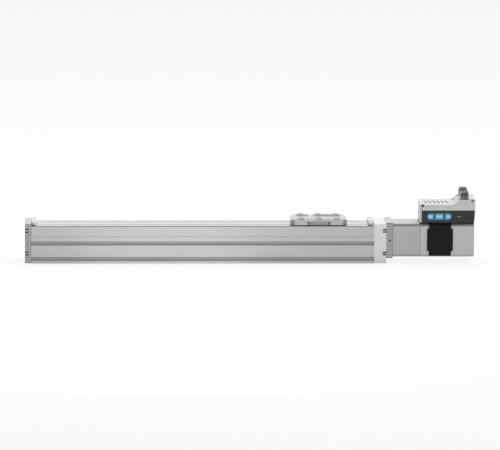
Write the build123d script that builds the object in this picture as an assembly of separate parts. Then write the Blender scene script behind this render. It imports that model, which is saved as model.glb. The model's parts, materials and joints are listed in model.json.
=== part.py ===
from build123d import *
import os
from math import cos, radians, sin

# Ball screw linear axis with an integrated drive, in millimetres.
# X runs along the axis towards the motor, Z is up, and -Y is the side with the keys.
# The origin is the middle of the profile's underside.

# Travel
stroke = 300.0
stroke_reserve = 5.0
buffer_gap = 0.3
running_gap = 0.05
slip_gap = 0.3

# Profile
profile_width = 45.0
profile_height = 48.0
profile_chamfer = 1.0
cavity_width = 33.0
cavity_floor = 4.5
lip_thickness = 4.0
slot_width = 29.2
groove_mouth = 5.0
groove_lip = 1.4
groove_undercut = 7.4
groove_depth = 3.6
upper_groove_z = 25.8
lower_groove_z = 6.0
mark_line_z = 34.4
mark_line_depth = 0.4

# Screw axis and ball screw
axis_z = 29.2
screw_r = 5.0
journal_r = 4.0
drive_journal_r = 3.0
nut_r = 10.0
nut_flange_r = 14.0
nut_flange_length = 6.0
nut_length = 30.0
nut_screw_circle_r = 12.0

# Ball bearings: pair at the drive end, single one at the idle end
bearing_r = 11.0
bearing_width = 7.0
ball_r = 1.9
ball_circle_r = 7.5
ball_count = 7
ring_land = 1.4
cage_wall = 0.8
cage_width = 5.0
fixed_block_length = 26.0
fixed_block_shoulder = 5.0
floating_block_length = 15.0
floating_block_shoulder = 4.0
shoulder_bore_r = 6.0
lock_nut_r = 7.0
lock_nut_length = 6.0
spacer_bore_r = 8.2
idle_buffer_length = 5.9
drive_buffer_length = 8.5
buffer_r = 12.0
buffer_bore_r = 7.0
land_length = 11.0

# Guide
rail_width = 12.0
rail_height = 8.0
rail_end_gap = 1.0
rail_groove_r = 1.2
rail_hole_pitch = 50.0
rail_bolt_r = 1.5
rail_head_r = 3.0
rail_head_height = 3.0
guide_block_width = 27.0
guide_block_steel = 32.0
guide_block_end = 6.5
guide_block_lift = 3.0
guide_block_top = 17.5

# Carriage inside the profile
saddle_length = 60.0
saddle_width = 32.0
saddle_top = 43.4
web_thickness = 1.8
web_foot_z = 38.0
web_length = 56.0
web_screw_z = 40.7
web_screw_r = 1.25
web_screw_spacing = 20.0
web_screw_count = 3

# Cover strip
strip_width = 24.4
strip_thickness = 0.4

# Slide plate on top
slide_length = 70.7
slide_width = 41.0
slide_lift = 0.8
slide_rim_z = 56.8
slide_corner = 5.0
slide_slope = 4.0
slide_slope_drop = 1.6
slide_end_slope = 6.5
slide_end_drop = 2.2
trough_length = 55.0
trough_width = 24.0
trough_depth = 1.6
hole_pitch_x = 22.0
hole_pitch_y = 31.0
boss_r = 3.9
boss_rise = 0.5
thread_m5_r = 2.1
centring_r = 2.5
slide_hole_depth = 7.0
rim_notch_width = 6.0
rim_notch_offset = -9.6
side_recess_length = 29.0
side_recess_depth = 1.5
side_recess_top = 53.4
insert_length = 20.0
insert_thickness = 0.9
insert_screw_spacing = 25.4
insert_screw_r = 1.25
insert_head_r = 1.9
insert_head_height = 1.0
insert_screw_length = 6.0
wiper_length = 3.0
wiper_inset = 1.5
wiper_gap = 0.05

# End caps, strip clamps and their screws
idle_cap_length = 8.0
drive_cap_length = 15.4
cap_bottom = 0.4
cap_top = 50.7
cap_edge = 0.5
cap_bore_r = 10.0
cap_screw_r = 2.0
cap_screw_head_r = 3.5
cap_screw_head_height = 4.0
cap_screw_pocket_r = 3.8
cap_screw_y = 19.5
cap_screw_low_z = 12.9
cap_screw_high_z = 41.9
cap_screw_bite = 12.0
hex_socket_across = 3.0
hex_socket_depth = 2.0
idle_clamp_length = 6.0
idle_clamp_gap = 0.2
drive_clamp_length = 5.6
drive_clamp_gap = 1.6
clamp_width = 39.0
clamp_lift = 1.2
clamp_top = 52.8
clamp_corner = 2.0
clamp_screw_y = 9.0
clamp_screw_r = 1.5
clamp_screw_head_r = 2.3
clamp_screw_head_height = 1.6
clamp_screw_length = 7.0

# Motor flange and coupling housing
flange_length = 8.0
flange_width = 45.2
flange_edge = 1.0
spigot_r = 16.0
spigot_length = 6.0
coupling_bore_r = 14.0
housing_length = 35.0
housing_wall = 4.7
pilot_r = 11.0
pilot_length = 2.0
wall_bore_r = 9.0
flange_screw_y = 11.5
flange_screw_rise = 18.2
small_screw_r = 1.5
small_head_r = 2.75
small_head_height = 3.0
small_socket_across = 2.5
small_socket_depth = 1.5
flange_screw_bite = 9.0
grub_x = 4.6
grub_r = 1.5
grub_depth = 3.0
motor_screw_bite = 4.8
motor_hole_pitch = 31.0
cover_screw_bite = 3.0

# Coupling
coupling_r = 12.5
coupling_middle = 19.0
hub_length = 12.5
jaw_length = 8.0
jaw_inner_r = 5.5
jaw_end_gap = 0.4
jaw_count = 3
spider_bore_r = 3.5
clamp_slot = 1.0
hub_screw_offset = 8.0
hub_screw_r = 1.25
hub_screw_head_r = 2.25
hub_screw_length = 14.0

# Motor
motor_size = 42.3
motor_length = 67.8
motor_chamfer = 3.2
front_cover_length = 9.0
rear_cover_length = 10.0
rear_wall = 1.0
encoder_space_r = 6.0
stator_r = 18.5
stator_bore_r = 12.3
stator_length = 30.0
stator_back = 3.0
pole_count = 8
pole_width = 5.0
coil_wall = 1.6
coil_overhang = 3.0
rotor_r = 12.15
rotor_length = 28.0
magnet_length = 4.0
magnet_r = 11.2
motor_shaft_r = 2.5
shaft_reach = 22.5
motor_bearing_r = 8.0
motor_bearing_width = 5.0
motor_ring_r = 4.4
encoder_magnet_r = 4.0
encoder_magnet_length = 3.0

# Strap round the motor
strap_x = 24.65
strap_neck_width = 27.8
strap_plate_width = 32.5
strap_thickness = 1.8
strap_plate_low = 16.2
strap_plate_high = 44.3
strap_step = 0.6
strap_hook_rise = 1.6

# Electronics housing
box_x = -0.9
box_length = 69.7
box_width = 45.0
pad_thickness = 1.85
box_low_top = 75.0
box_high_top = 81.3
box_wall = 2.2
box_front_edge = 2.1
box_end_edge = 0.6
box_taper = 1.3
ramp_from_end = 32.1
ramp_length = 11.2
base_thickness = 2.0
film_top = 67.8
film_thickness = 0.4
vent_count = 6
vent_first = 8.0
vent_pitch = 5.4
vent_length = 18.0
vent_width = 1.8
vent_slant = 10.0
box_screw_r = 1.25
box_screw_head_r = 2.0
box_screw_head_height = 1.5
box_screw_pocket_r = 2.7
box_screw_pocket_depth = 2.6
box_screw_left = 3.6
box_screw_right = 3.5
box_screw_side = 2.3
box_boss_r = 3.0
box_screw_length = 8.0
board_thickness = 1.6
board_z = 57.0
board_inset = 0.5
light_from_end = 22.0
light_spacing = 3.0
light_size = 1.2
light_count = 2
light_z = 60.1
plug_from_end = 25.35
plug_y = 12.0
plug_r = 1.6
plug_rise = 2.6
post_r = 2.0
post_inset = 4.0

# Keys: each has a left edge and a width, measured from the housing's left end
key_low = 56.1
key_high = 64.0
key_proud = 0.4
key_travel = 0.4
key_gap = 0.15
key_flange = 0.6
key_flange_thickness = 1.0
key_corner = 0.8
key_end_r = 3.6
key_left_x = 9.4
key_left_width = 7.85
key_middle_x = 19.25
key_middle_width = 10.2
key_right_x = 31.7
key_right_width = 7.6
switch_r = 1.8
switch_height = 0.7
switch_clearance = 0.1
key_board_thickness = 1.0

# Round connectors
connector_from_end = 13.5
connector_y = 15.0
connector_height = 9.9
connector_r = 6.0
connector_collar_r = 6.2
connector_collar_height = 1.6
connector_bore_r = 5.4
connector_inner_r = 4.6
connector_insert_height = 4.4
connector_root = 3.0
pin_r = 0.5
pin_circle_r = 2.7
pin_count = 4
pin_rise = 3.6
seal_thickness = 0.5

# Places that follow from the sizes above
travel_length = stroke + 2 * stroke_reserve
inner_length = saddle_length + nut_flange_length + travel_length + 2 * buffer_gap
profile_length = (floating_block_length + idle_buffer_length + inner_length
                  + drive_buffer_length + fixed_block_length)
drive_end = profile_length / 2
idle_end = -drive_end
fixed_block_x = drive_end - fixed_block_length
floating_block_end = idle_end + floating_block_length
drive_buffer_x = fixed_block_x - drive_buffer_length
idle_buffer_end = floating_block_end + idle_buffer_length
slide_x = drive_buffer_x - buffer_gap - stroke_reserve - saddle_length / 2
slot_floor = profile_height - lip_thickness
fixed_bearing_x = fixed_block_x + fixed_block_shoulder
floating_bearing_x = floating_block_end - floating_block_shoulder - bearing_width
strip_top = profile_height
strip_bottom = strip_top - strip_thickness
slide_bottom = strip_top + slide_lift
saddle_bottom = guide_block_top
flange_x = drive_end + drive_cap_length
housing_x = flange_x + flange_length
motor_x = housing_x + housing_length
motor_end = motor_x + motor_length
coupling_x = flange_x + coupling_middle
jaw_angle = 90 / jaw_count
box_left = motor_x + box_x
box_right = box_left + box_length
box_bottom = axis_z + motor_size / 2 + pad_thickness
connector_x = box_right - connector_from_end


def block(x, y, z):
    """Box between a low and a high limit on each axis."""
    limits = (x, y, z)
    size = [high - low for low, high in limits]
    middle = [(high + low) / 2 for low, high in limits]
    return Pos(*middle) * Box(*size)


def rod_x(start, end, radius, y=0.0, z=axis_z):
    """Cylinder along X."""
    return Pos((start + end) / 2, y, z) * Rot(0, 90, 0) * Cylinder(radius, end - start)


def rod_y(start, end, radius, x, z):
    """Cylinder along Y."""
    return Pos(x, (start + end) / 2, z) * Rot(90, 0, 0) * Cylinder(radius, end - start)


def rod_z(start, end, radius, x, y):
    """Cylinder along Z."""
    return Pos(x, y, (start + end) / 2) * Cylinder(radius, end - start)


def ring_x(start, end, outer, inner):
    """Ring round the screw axis."""
    return rod_x(start, end, outer) - rod_x(start, end, inner)


def hex_x(start, end, across, y, z):
    """Hexagonal prism along X, for a socket."""
    shape = RegularPolygon(across / 2, 6, major_radius=False)
    return extrude(Plane.YZ.offset(start) * Pos(y, z) * shape, amount=end - start)


def hex_z(start, end, across, x, y):
    """Hexagonal prism along Z, for a socket."""
    shape = RegularPolygon(across / 2, 6, major_radius=False)
    return extrude(Plane.XY.offset(start) * Pos(x, y) * shape, amount=end - start)


def rect(y, z):
    """Rectangle of a cross-section between low and high limits."""
    place = Pos((y[0] + y[1]) / 2, (z[0] + z[1]) / 2)
    return place * Rectangle(y[1] - y[0], z[1] - z[0])


def along_x(section, start, end):
    """Push a cross-section along X."""
    return extrude(Plane.YZ.offset(start) * section, amount=end - start)


def along_y(section, start, end):
    """Push a section drawn in X and Z along Y."""
    return extrude(Plane.XZ.offset(-end) * section, amount=end - start)


def save(name, pieces):
    """Write one node from a piece or a list of pieces."""
    group = pieces if isinstance(pieces, list) else [pieces]
    solids = [solid for piece in group for solid in piece.solids()]
    export_step(Compound(label=name, children=solids), os.path.join("parts", name + ".step"))


def square_section(size, corner):
    """Square about the screw axis with cut corners."""
    return Pos(0, axis_z) * chamfer(Rectangle(size, size).vertices(), corner)


def build_profile():
    """Extruded body with a cavity, a slot in the top, and two undercut grooves on each side."""
    half = profile_width / 2
    section = Pos(0, profile_height / 2) * Rectangle(profile_width, profile_height)
    section = chamfer(section.vertices(), profile_chamfer)
    section -= rect((-cavity_width / 2, cavity_width / 2), (cavity_floor, slot_floor))
    section -= rect((-slot_width / 2, slot_width / 2), (slot_floor, profile_height))
    for side in (-1, 1):
        for z in (upper_groove_z, lower_groove_z):
            section -= Pos(side * half, z) * Rectangle(2 * groove_lip, groove_mouth)
            deep = groove_depth - groove_lip
            middle = half - groove_lip - deep / 2
            section -= Pos(side * middle, z) * Rectangle(deep, groove_undercut)
        mark = Pos(side * half, mark_line_z) * Rot(0, 0, 45) * Rectangle(
            mark_line_depth * 2 ** 0.5, mark_line_depth * 2 ** 0.5)
        section -= mark
    body = along_x(section, idle_end, drive_end)
    for y, z in cap_screw_places():
        body -= rod_x(idle_end, idle_end + cap_screw_bite, cap_screw_r, y, z)
        body -= rod_x(drive_end - cap_screw_bite, drive_end, cap_screw_r, y, z)
    for x in rail_hole_places():
        body -= rod_z(cavity_floor - rail_bite(), cavity_floor, rail_bolt_r, x, 0)
    save("profile", body)


def cap_screw_places():
    """Corners of the profile where the end caps are screwed on."""
    return [(side * cap_screw_y, z) for side in (-1, 1) for z in (cap_screw_low_z, cap_screw_high_z)]


def rail_limits():
    """The two ends of the guide rail."""
    return floating_block_end + rail_end_gap, fixed_block_x - rail_end_gap


def rail_hole_places():
    """Places of the rail's screws, spread evenly about its middle."""
    start, end = rail_limits()
    count = int((end - start - rail_hole_pitch / 2) // rail_hole_pitch) + 1
    first = (start + end) / 2 - (count - 1) * rail_hole_pitch / 2
    return [first + i * rail_hole_pitch for i in range(count)]


def rail_bite():
    """Depth of the rail's screws in the cavity floor."""
    return cavity_floor * 0.8


def build_guide():
    """Rail with ball grooves, its screws, and the block that runs on it."""
    start, end = rail_limits()
    top = cavity_floor + rail_height
    groove_z = cavity_floor + rail_height / 2
    rail = block((start, end), (-rail_width / 2, rail_width / 2), (cavity_floor, top))
    for side in (-1, 1):
        rail -= rod_x(start, end, rail_groove_r, side * rail_width / 2, groove_z)
    screws = []
    head_z = top - rail_head_height
    for x in rail_hole_places():
        rail -= rod_z(head_z, top, rail_head_r + slip_gap, x, 0)
        rail -= rod_z(cavity_floor, head_z, rail_bolt_r, x, 0)
        head = rod_z(head_z, top - slip_gap, rail_head_r, x, 0)
        head -= hex_z(head_z + 1, top, small_socket_across, x, 0)
        screws.append(head + rod_z(cavity_floor - rail_bite(), head_z, rail_bolt_r, x, 0))
    save("guide_rail", rail)
    save("guide_rail_screws", screws)

    low = cavity_floor + guide_block_lift
    half = guide_block_width / 2
    steel = slide_x - guide_block_steel / 2, slide_x + guide_block_steel / 2
    ends = steel[0] - guide_block_end, steel[1] + guide_block_end
    save("guide_block", guide_body(steel, half, low, 0.0))
    caps = [guide_body((ends[0], steel[0]), half - slip_gap, low, slip_gap),
            guide_body((steel[1], ends[1]), half - slip_gap, low, slip_gap)]
    save("guide_block_ends", caps)


def guide_body(span, half, low, drop):
    """Length of the guide block, cut out over the rail."""
    clear = rail_width / 2 + slip_gap
    over = cavity_floor + rail_height + slip_gap
    body = block(span, (-half, half), (low, guide_block_top - drop))
    return body - block(span, (-clear, clear), (low, over))


def build_saddle():
    """Block that joins the guide block, the nut and the slide's webs. Gives back its screws."""
    start = slide_x - saddle_length / 2
    end = slide_x + saddle_length / 2
    half = saddle_width / 2
    body = block((start, end), (-half, half), (saddle_bottom, saddle_top))
    body = chamfer(body.edges().filter_by(Axis.X), 1.0)
    body -= rod_x(start, start + nut_length, nut_r)
    body -= rod_x(start, end, screw_r + 4 * slip_gap)
    web_in, web_out = web_limits()
    screws = []
    for side in (-1, 1):
        y = sorted((side * web_in, side * web_out))
        span = slide_x - web_length / 2, slide_x + web_length / 2
        body -= block(span, y, (web_foot_z, saddle_top))
        for x in web_screw_places():
            screw, hole = web_screw(x, side)
            body -= hole
            screws.append(screw)
    for y, z in nut_screw_places():
        body -= rod_x(start, start + 8, small_screw_r, y, z)
    save("saddle", body)
    return screws


def web_limits():
    """Distance of a web's inner and outer face from the middle plane."""
    inner = strip_width / 2 + slip_gap
    return inner, inner + web_thickness


def web_screw_places():
    """Places along X of the screws through the webs."""
    first = slide_x - (web_screw_count - 1) * web_screw_spacing / 2
    return [first + i * web_screw_spacing for i in range(web_screw_count)]


def web_screw(x, side):
    """Flush screw through the saddle's side and a web, and the hole that it fills."""
    outer = side * saddle_width / 2
    inner = outer - side * 6.0
    shank = rod_y(*sorted((inner, outer)), web_screw_r, x, web_screw_z)
    head_end = outer - side * 1.0
    head = rod_y(*sorted((head_end, outer)), web_screw_r + 0.9, x, web_screw_z)
    screw = shank + head
    slot = block((x - 1.5, x + 1.5), sorted((outer, outer - side * 0.5)),
                 (web_screw_z - 0.3, web_screw_z + 0.3))
    return screw - slot, screw


def nut_screw_places():
    """Screws round the nut's flange."""
    reach = nut_screw_circle_r * cos(radians(45))
    return [(a * reach, axis_z + b * reach) for a in (-1, 1) for b in (-1, 1)]


def build_nut():
    """Flanged ball nut. Gives back its screws and the wiper at each end."""
    face = slide_x - saddle_length / 2
    start = face - nut_flange_length
    end = face + nut_length
    bore = screw_r + running_gap
    lip = 2.0
    nut = rod_x(face, end, nut_r) + rod_x(start, face, nut_flange_r)
    nut -= rod_x(start, end, bore)
    nut -= rod_x(start, start + lip, screw_r + 2.5)
    nut -= rod_x(end - lip, end, screw_r + 2.5)
    screws = []
    head = 2.0
    for y, z in nut_screw_places():
        nut -= rod_x(start, face, small_screw_r, y, z)
        nut -= rod_x(start, start + head, small_head_r, y, z) & rod_x(start, face, nut_flange_r)
        screw = rod_x(start, start + head, small_head_r - slip_gap, y, z)
        screw += rod_x(start + head, face + 8, small_screw_r, y, z)
        screws.append(screw & rod_x(start, face + 8, nut_flange_r))
    wipers = [ring_x(start, start + lip, screw_r + 2.5, bore),
              ring_x(end - lip, end, screw_r + 2.5, bore)]
    save("ball_nut", nut)
    return screws, wipers


def build_slide():
    """Slide plate: sloped long edges, two rims with bosses, and webs that straddle the strip."""
    long_half = slide_length / 2
    wide_half = slide_width / 2
    outline = chamfer(Rectangle(slide_length, slide_width).vertices(), slide_corner)
    plate = extrude(Plane.XY.offset(slide_bottom) * Pos(slide_x, 0) * outline,
                    amount=slide_rim_z - slide_bottom)
    for side in (-1, 1):
        slope = Polyline((side * wide_half, slide_rim_z - slide_slope_drop),
                         (side * wide_half, slide_rim_z),
                         (side * (wide_half - slide_slope), slide_rim_z), close=True)
        plate -= along_x(make_face(slope), slide_x - long_half, slide_x + long_half)
        end = slide_x + side * long_half
        slope = Polyline((end, slide_rim_z - slide_end_drop), (end, slide_rim_z),
                         (end - side * slide_end_slope, slide_rim_z), close=True)
        plate -= along_y(make_face(slope), -wide_half, wide_half)
    trough = slide_x - trough_length / 2, slide_x + trough_length / 2
    plate -= block(trough, (-trough_width / 2, trough_width / 2),
                   (slide_rim_z - trough_depth, slide_rim_z))
    notch = slide_x + rim_notch_offset
    plate -= block((notch - rim_notch_width / 2, notch + rim_notch_width / 2), (0, wide_half),
                   (slide_rim_z - trough_depth, slide_rim_z))
    boss_top = slide_rim_z + boss_rise
    for x, y, hole_r in slide_holes():
        plate += rod_z(slide_rim_z - 4, boss_top, boss_r, x, y)
    for x, y, hole_r in slide_holes():
        plate -= rod_z(boss_top - slide_hole_depth, boss_top, hole_r, x, y)
    inner, outer = web_limits()
    for side in (-1, 1):
        web = block((slide_x - web_length / 2, slide_x + web_length / 2),
                    sorted((side * inner, side * outer)), (web_foot_z, slide_bottom + 1))
        plate += web
        for x in web_screw_places():
            plate -= web_screw(x, side)[1]
        plate -= side_recess(side)
        for x in insert_screw_places():
            plate -= insert_screw(x, side, 0.0)
    save("slide_plate", plate)


def slide_holes():
    """Threaded corner holes and the two centring holes of the slide's top."""
    places = []
    for side in (-1, 1):
        y = side * hole_pitch_y / 2
        places.append((slide_x - hole_pitch_x, y, thread_m5_r))
        places.append((slide_x, y, centring_r))
        places.append((slide_x + hole_pitch_x, y, thread_m5_r))
    return places


def side_recess(side):
    """Recess low in the slide's side, for the insert."""
    outer = side * slide_width / 2
    span = slide_x - side_recess_length / 2, slide_x + side_recess_length / 2
    return block(span, sorted((outer, outer - side * side_recess_depth)),
                 (slide_bottom, side_recess_top))


def insert_screw_places():
    """Screws at the two ends of a side recess."""
    return [slide_x - insert_screw_spacing / 2, slide_x + insert_screw_spacing / 2]


def insert_screw(x, side, socket):
    """Pan head screw in the floor of a side recess, with a socket of the given depth."""
    floor = side * (slide_width / 2 - side_recess_depth)
    z = (slide_bottom + side_recess_top) / 2
    shank = rod_y(*sorted((floor, floor - side * insert_screw_length)), insert_screw_r, x, z)
    head = rod_y(*sorted((floor, floor + side * insert_head_height)), insert_head_r, x, z)
    if socket:
        face = floor + side * insert_head_height
        head -= rod_y(*sorted((face, face - side * socket)), insert_screw_r / 2, x, z)
    return shank + head


def build_slide_trim():
    """Side inserts. Gives back their screws and the wipers that sweep the strip."""
    inserts = []
    screws = []
    for side in (-1, 1):
        floor = side * (slide_width / 2 - side_recess_depth)
        y = sorted((floor, floor + side * insert_thickness))
        inserts.append(block((slide_x - insert_length / 2, slide_x + insert_length / 2), y,
                             (slide_bottom, side_recess_top)))
        screws += [insert_screw(x, side, insert_head_height / 2) for x in insert_screw_places()]
    save("slide_inserts", inserts)
    half = strip_width / 2
    wipers = []
    for end in (-1, 1):
        outer = slide_x + end * (slide_length / 2 - wiper_inset)
        wipers.append(block(sorted((outer, outer - end * wiper_length)), (-half, half),
                            (strip_top + wiper_gap, slide_bottom)))
    return screws, wipers


def build_carriage():
    """Everything that the nut drives along."""
    web_screws = build_saddle()
    nut_screws, nut_wipers = build_nut()
    build_slide()
    insert_screws, strip_wipers = build_slide_trim()
    save("carriage_screws", web_screws + nut_screws + insert_screws)
    save("carriage_wipers", nut_wipers + strip_wipers)


def bearing(start):
    """Outer ring, inner ring and caged balls of one bearing, from its start along X."""
    end = start + bearing_width
    middle = (start + end) / 2
    groove = Torus(ball_circle_r, ball_r + running_gap)
    groove = Pos(middle, 0, axis_z) * Rot(0, 90, 0) * groove
    outer = ring_x(start, end, bearing_r, ball_circle_r + ring_land) - groove
    inner = ring_x(start, end, ball_circle_r - ring_land, journal_r) - groove
    cage = ring_x(middle - cage_width / 2, middle + cage_width / 2,
                  ball_circle_r + cage_wall / 2, ball_circle_r - cage_wall / 2)
    balls = []
    for i in range(ball_count):
        angle = radians(360 * i / ball_count)
        place = Pos(middle, ball_circle_r * sin(angle), axis_z + ball_circle_r * cos(angle))
        balls.append(place * Sphere(ball_r))
        cage -= place * Sphere(ball_r + running_gap)
    return {"outer": outer, "inner": inner, "cage": cage, "balls": balls}


def build_bearings():
    """Bearing pair at the drive end, single bearing at the idle end, and the motor's two."""
    starts = (fixed_bearing_x, fixed_bearing_x + bearing_width, floating_bearing_x)
    bearings = [bearing(start) for start in starts]
    outer = [one["outer"] for one in bearings]
    inner = [one["inner"] for one in bearings]
    for seat in motor_bearing_seats():
        outer.append(ring_x(*seat, motor_bearing_r, motor_ring_r + running_gap))
        inner.append(ring_x(*seat, motor_ring_r, motor_shaft_r))
    save("bearing_outer_rings", outer)
    save("bearing_inner_rings", inner)
    save("bearing_cages", [one["cage"] for one in bearings])
    save("bearing_balls", [ball for one in bearings for ball in one["balls"]])


def bearing_block(start, end, land):
    """Block that fills the cavity, with a land that carries the end of the strip."""
    half = cavity_width / 2
    body = block((start, end), (-half, half), (cavity_floor, slot_floor))
    half = slot_width / 2
    return body + block(land, (-half, half), (slot_floor, strip_bottom))


def build_bearing_blocks():
    """The two bearing blocks, the spacer and nut of the fixed pair, and the end buffers."""
    fixed = bearing_block(fixed_block_x, drive_end, (drive_end - land_length, drive_end))
    fixed -= rod_x(fixed_bearing_x, drive_end, bearing_r)
    fixed -= rod_x(fixed_block_x, fixed_bearing_x, shoulder_bore_r)
    floating = bearing_block(idle_end, floating_block_end, (idle_end, idle_end + land_length))
    floating -= rod_x(floating_bearing_x - floating_block_shoulder, floating_block_end, shoulder_bore_r)
    floating -= rod_x(floating_bearing_x, floating_bearing_x + bearing_width, bearing_r)
    for span in clamp_spans():
        for x, y in clamp_screw_places(span):
            hole = rod_z(strip_bottom - clamp_screw_length, strip_bottom, clamp_screw_r, x, y)
            fixed -= hole
            floating -= hole
    save("fixed_bearing_block", fixed)
    save("floating_bearing_block", floating)
    seat = fixed_bearing_x + 2 * bearing_width
    save("bearing_spacer", ring_x(seat, drive_end, bearing_r, spacer_bore_r))
    save("end_buffers", [ring_x(drive_buffer_x, fixed_block_x, buffer_r, buffer_bore_r),
                         ring_x(floating_block_end, idle_buffer_end, buffer_r, buffer_bore_r)])


def build_screw():
    """Ball screw with its journals, and the lock nut of the bearing pair."""
    seat_end = fixed_bearing_x + 2 * bearing_width
    screw = rod_x(floating_bearing_x - 1, floating_bearing_x + bearing_width, journal_r)
    screw += rod_x(floating_bearing_x + bearing_width, fixed_bearing_x, screw_r)
    screw += rod_x(fixed_bearing_x, seat_end + lock_nut_length, journal_r)
    tip = coupling_x - jaw_length / 2 - 1
    screw += rod_x(seat_end + lock_nut_length, tip, drive_journal_r)
    save("ball_screw", screw)
    nut = ring_x(seat_end, seat_end + lock_nut_length, lock_nut_r, journal_r)
    for i in range(4):
        slot = block((seat_end, seat_end + lock_nut_length), (-1, 1),
                     (axis_z + lock_nut_r - 1, axis_z + lock_nut_r))
        nut -= slot.rotate(Axis((0, 0, axis_z), (1, 0, 0)), 90 * i)
    save("lock_nut", nut)


def clamp_spans():
    """Limits along X of the idle and the drive strip clamp."""
    idle = idle_end + idle_clamp_gap
    drive = drive_end - drive_clamp_gap
    return [(idle, idle + idle_clamp_length), (drive - drive_clamp_length, drive)]


def clamp_screw_places(span):
    """The two screws of a strip clamp."""
    middle = (span[0] + span[1]) / 2
    return [(middle, -clamp_screw_y), (middle, clamp_screw_y)]


def build_strip():
    """Cover strip, its clamps and their screws."""
    half = strip_width / 2
    strip = block((idle_end, drive_end), (-half, half), (strip_bottom, strip_top))
    clamps = []
    screws = []
    for span in clamp_spans():
        wide = clamp_width / 2
        clamp = block(span, (-wide, wide), (strip_top + clamp_lift, clamp_top))
        clamp = chamfer(clamp.edges().filter_by(Axis.Z), clamp_corner)
        clamp += block(span, (-half, half), (strip_top, clamp_top - clamp_lift))
        for x, y in clamp_screw_places(span):
            head_z = clamp_top - clamp_screw_head_height
            hole = rod_z(strip_bottom - clamp_screw_length, head_z, clamp_screw_r, x, y)
            pocket = rod_z(head_z, clamp_top, clamp_screw_head_r, x, y)
            clamp -= hole + pocket
            strip -= hole
            head = rod_z(head_z, clamp_top - slip_gap, clamp_screw_head_r, x, y)
            head -= hex_z(head_z + slip_gap, clamp_top, clamp_screw_r, x, y)
            screws.append(hole + head)
        clamps.append(clamp)
    save("strip_clamps", clamps)
    save("cover_strip", strip)
    save("strip_clamp_screws", screws)


def cap_body(start, end):
    """Plate that closes the profile's end."""
    half = profile_width / 2
    outline = chamfer(rect((-half, half), (cap_bottom, cap_top)).vertices(), cap_edge)
    return along_x(outline, start, end)


def cap_screw(face, inward, length, y, z):
    """Cap screw with its head just below a face, and the stepped hole that it sits in."""
    head_start = face + inward * slip_gap
    head_end = head_start + inward * cap_screw_head_height
    tip = face + inward * length
    head = rod_x(*sorted((head_start, head_end)), cap_screw_head_r, y, z)
    shank = rod_x(*sorted((head_end, tip)), cap_screw_r, y, z)
    socket_end = head_start + inward * hex_socket_depth
    socket = hex_x(*sorted((head_start, socket_end)), hex_socket_across, y, z)
    hole = rod_x(*sorted((face, head_end)), cap_screw_pocket_r, y, z) + shank
    return head + shank - socket, hole


def build_caps():
    """End caps and the screws that hold them on the profile."""
    idle_face = idle_end - idle_cap_length
    caps = {"idle": cap_body(idle_face, idle_end), "drive": cap_body(drive_end, flange_x)}
    caps["drive"] -= rod_x(drive_end, flange_x, cap_bore_r)
    faces = {"idle": (idle_face, 1, idle_cap_length), "drive": (flange_x, -1, drive_cap_length)}
    screws = []
    for name, (face, inward, length) in faces.items():
        for y, z in cap_screw_places():
            screw, hole = cap_screw(face, inward, length + cap_screw_bite, y, z)
            caps[name] -= hole
            screws.append(screw)
    save("cap_screws", screws)
    for y, z in flange_screw_places():
        caps["drive"] -= rod_x(flange_x - flange_screw_bite, flange_x, small_screw_r, y, z)
    save("idle_end_cap", caps["idle"])
    save("drive_end_cap", caps["drive"])


def flange_screw_places():
    """Screws that hold the motor flange on the drive end cap."""
    return [(a * flange_screw_y, axis_z + b * flange_screw_rise) for a in (-1, 1) for b in (-1, 1)]


def motor_screw_places():
    """Corners of the standard 31 mm square of the motor's front."""
    return [(a * motor_hole_pitch / 2, axis_z + b * motor_hole_pitch / 2)
            for a in (-1, 1) for b in (-1, 1)]


def small_cap_screw(head_start, direction, tip, y, z):
    """Small socket head screw along X, with its head at head_start."""
    head_end = head_start + direction * small_head_height
    head = rod_x(*sorted((head_start, head_end)), small_head_r, y, z)
    socket_end = head_start + direction * small_socket_depth
    head -= hex_x(*sorted((head_start, socket_end)), small_socket_across, y, z)
    return head + rod_x(*sorted((head_end, tip)), small_screw_r, y, z)


def build_flange():
    """Motor flange. Gives back its screws and the grub screws that grip the housing's spigot."""
    body = along_x(square_section(flange_width, flange_edge), flange_x, housing_x)
    seat = housing_x - spigot_length
    body -= rod_x(flange_x, seat, coupling_bore_r)
    body -= rod_x(seat, housing_x, spigot_r)
    screws = []
    for y, z in flange_screw_places():
        head_start = housing_x - small_head_height
        body -= rod_x(flange_x, head_start, small_screw_r, y, z)
        body -= rod_x(head_start, housing_x, small_head_r, y, z)
        screws.append(small_cap_screw(housing_x, -1, flange_x - flange_screw_bite, y, z))
    grubs = []
    half = flange_width / 2
    for side in (-1, 1):
        x = flange_x + grub_x
        body -= rod_y(*sorted((side * half, side * spigot_r * 0.98)), grub_r, x, axis_z)
        grubs.append(rod_y(*sorted((side * (half - grub_depth), side * spigot_r)), grub_r, x, axis_z))
    save("motor_flange", body)
    return screws + grubs


def build_coupling_housing():
    """Housing with a spigot for the flange and a seat for the motor. Gives back its screws."""
    spigot = housing_x - spigot_length
    wall = motor_x - housing_wall
    body = along_x(square_section(motor_size, motor_chamfer), housing_x, motor_x)
    body += rod_x(spigot, housing_x, spigot_r)
    body -= rod_x(spigot, wall, coupling_bore_r)
    body -= rod_x(wall, motor_x, wall_bore_r)
    body -= rod_x(motor_x - pilot_length, motor_x, pilot_r)
    screws = []
    for y, z in motor_screw_places():
        head_end = housing_x + small_head_height
        body -= rod_x(housing_x, head_end, small_head_r, y, z)
        body -= rod_x(head_end, motor_x, small_screw_r, y, z)
        screws.append(small_cap_screw(housing_x, 1, motor_x + motor_screw_bite, y, z))
    save("coupling_housing", body)
    return screws


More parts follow.
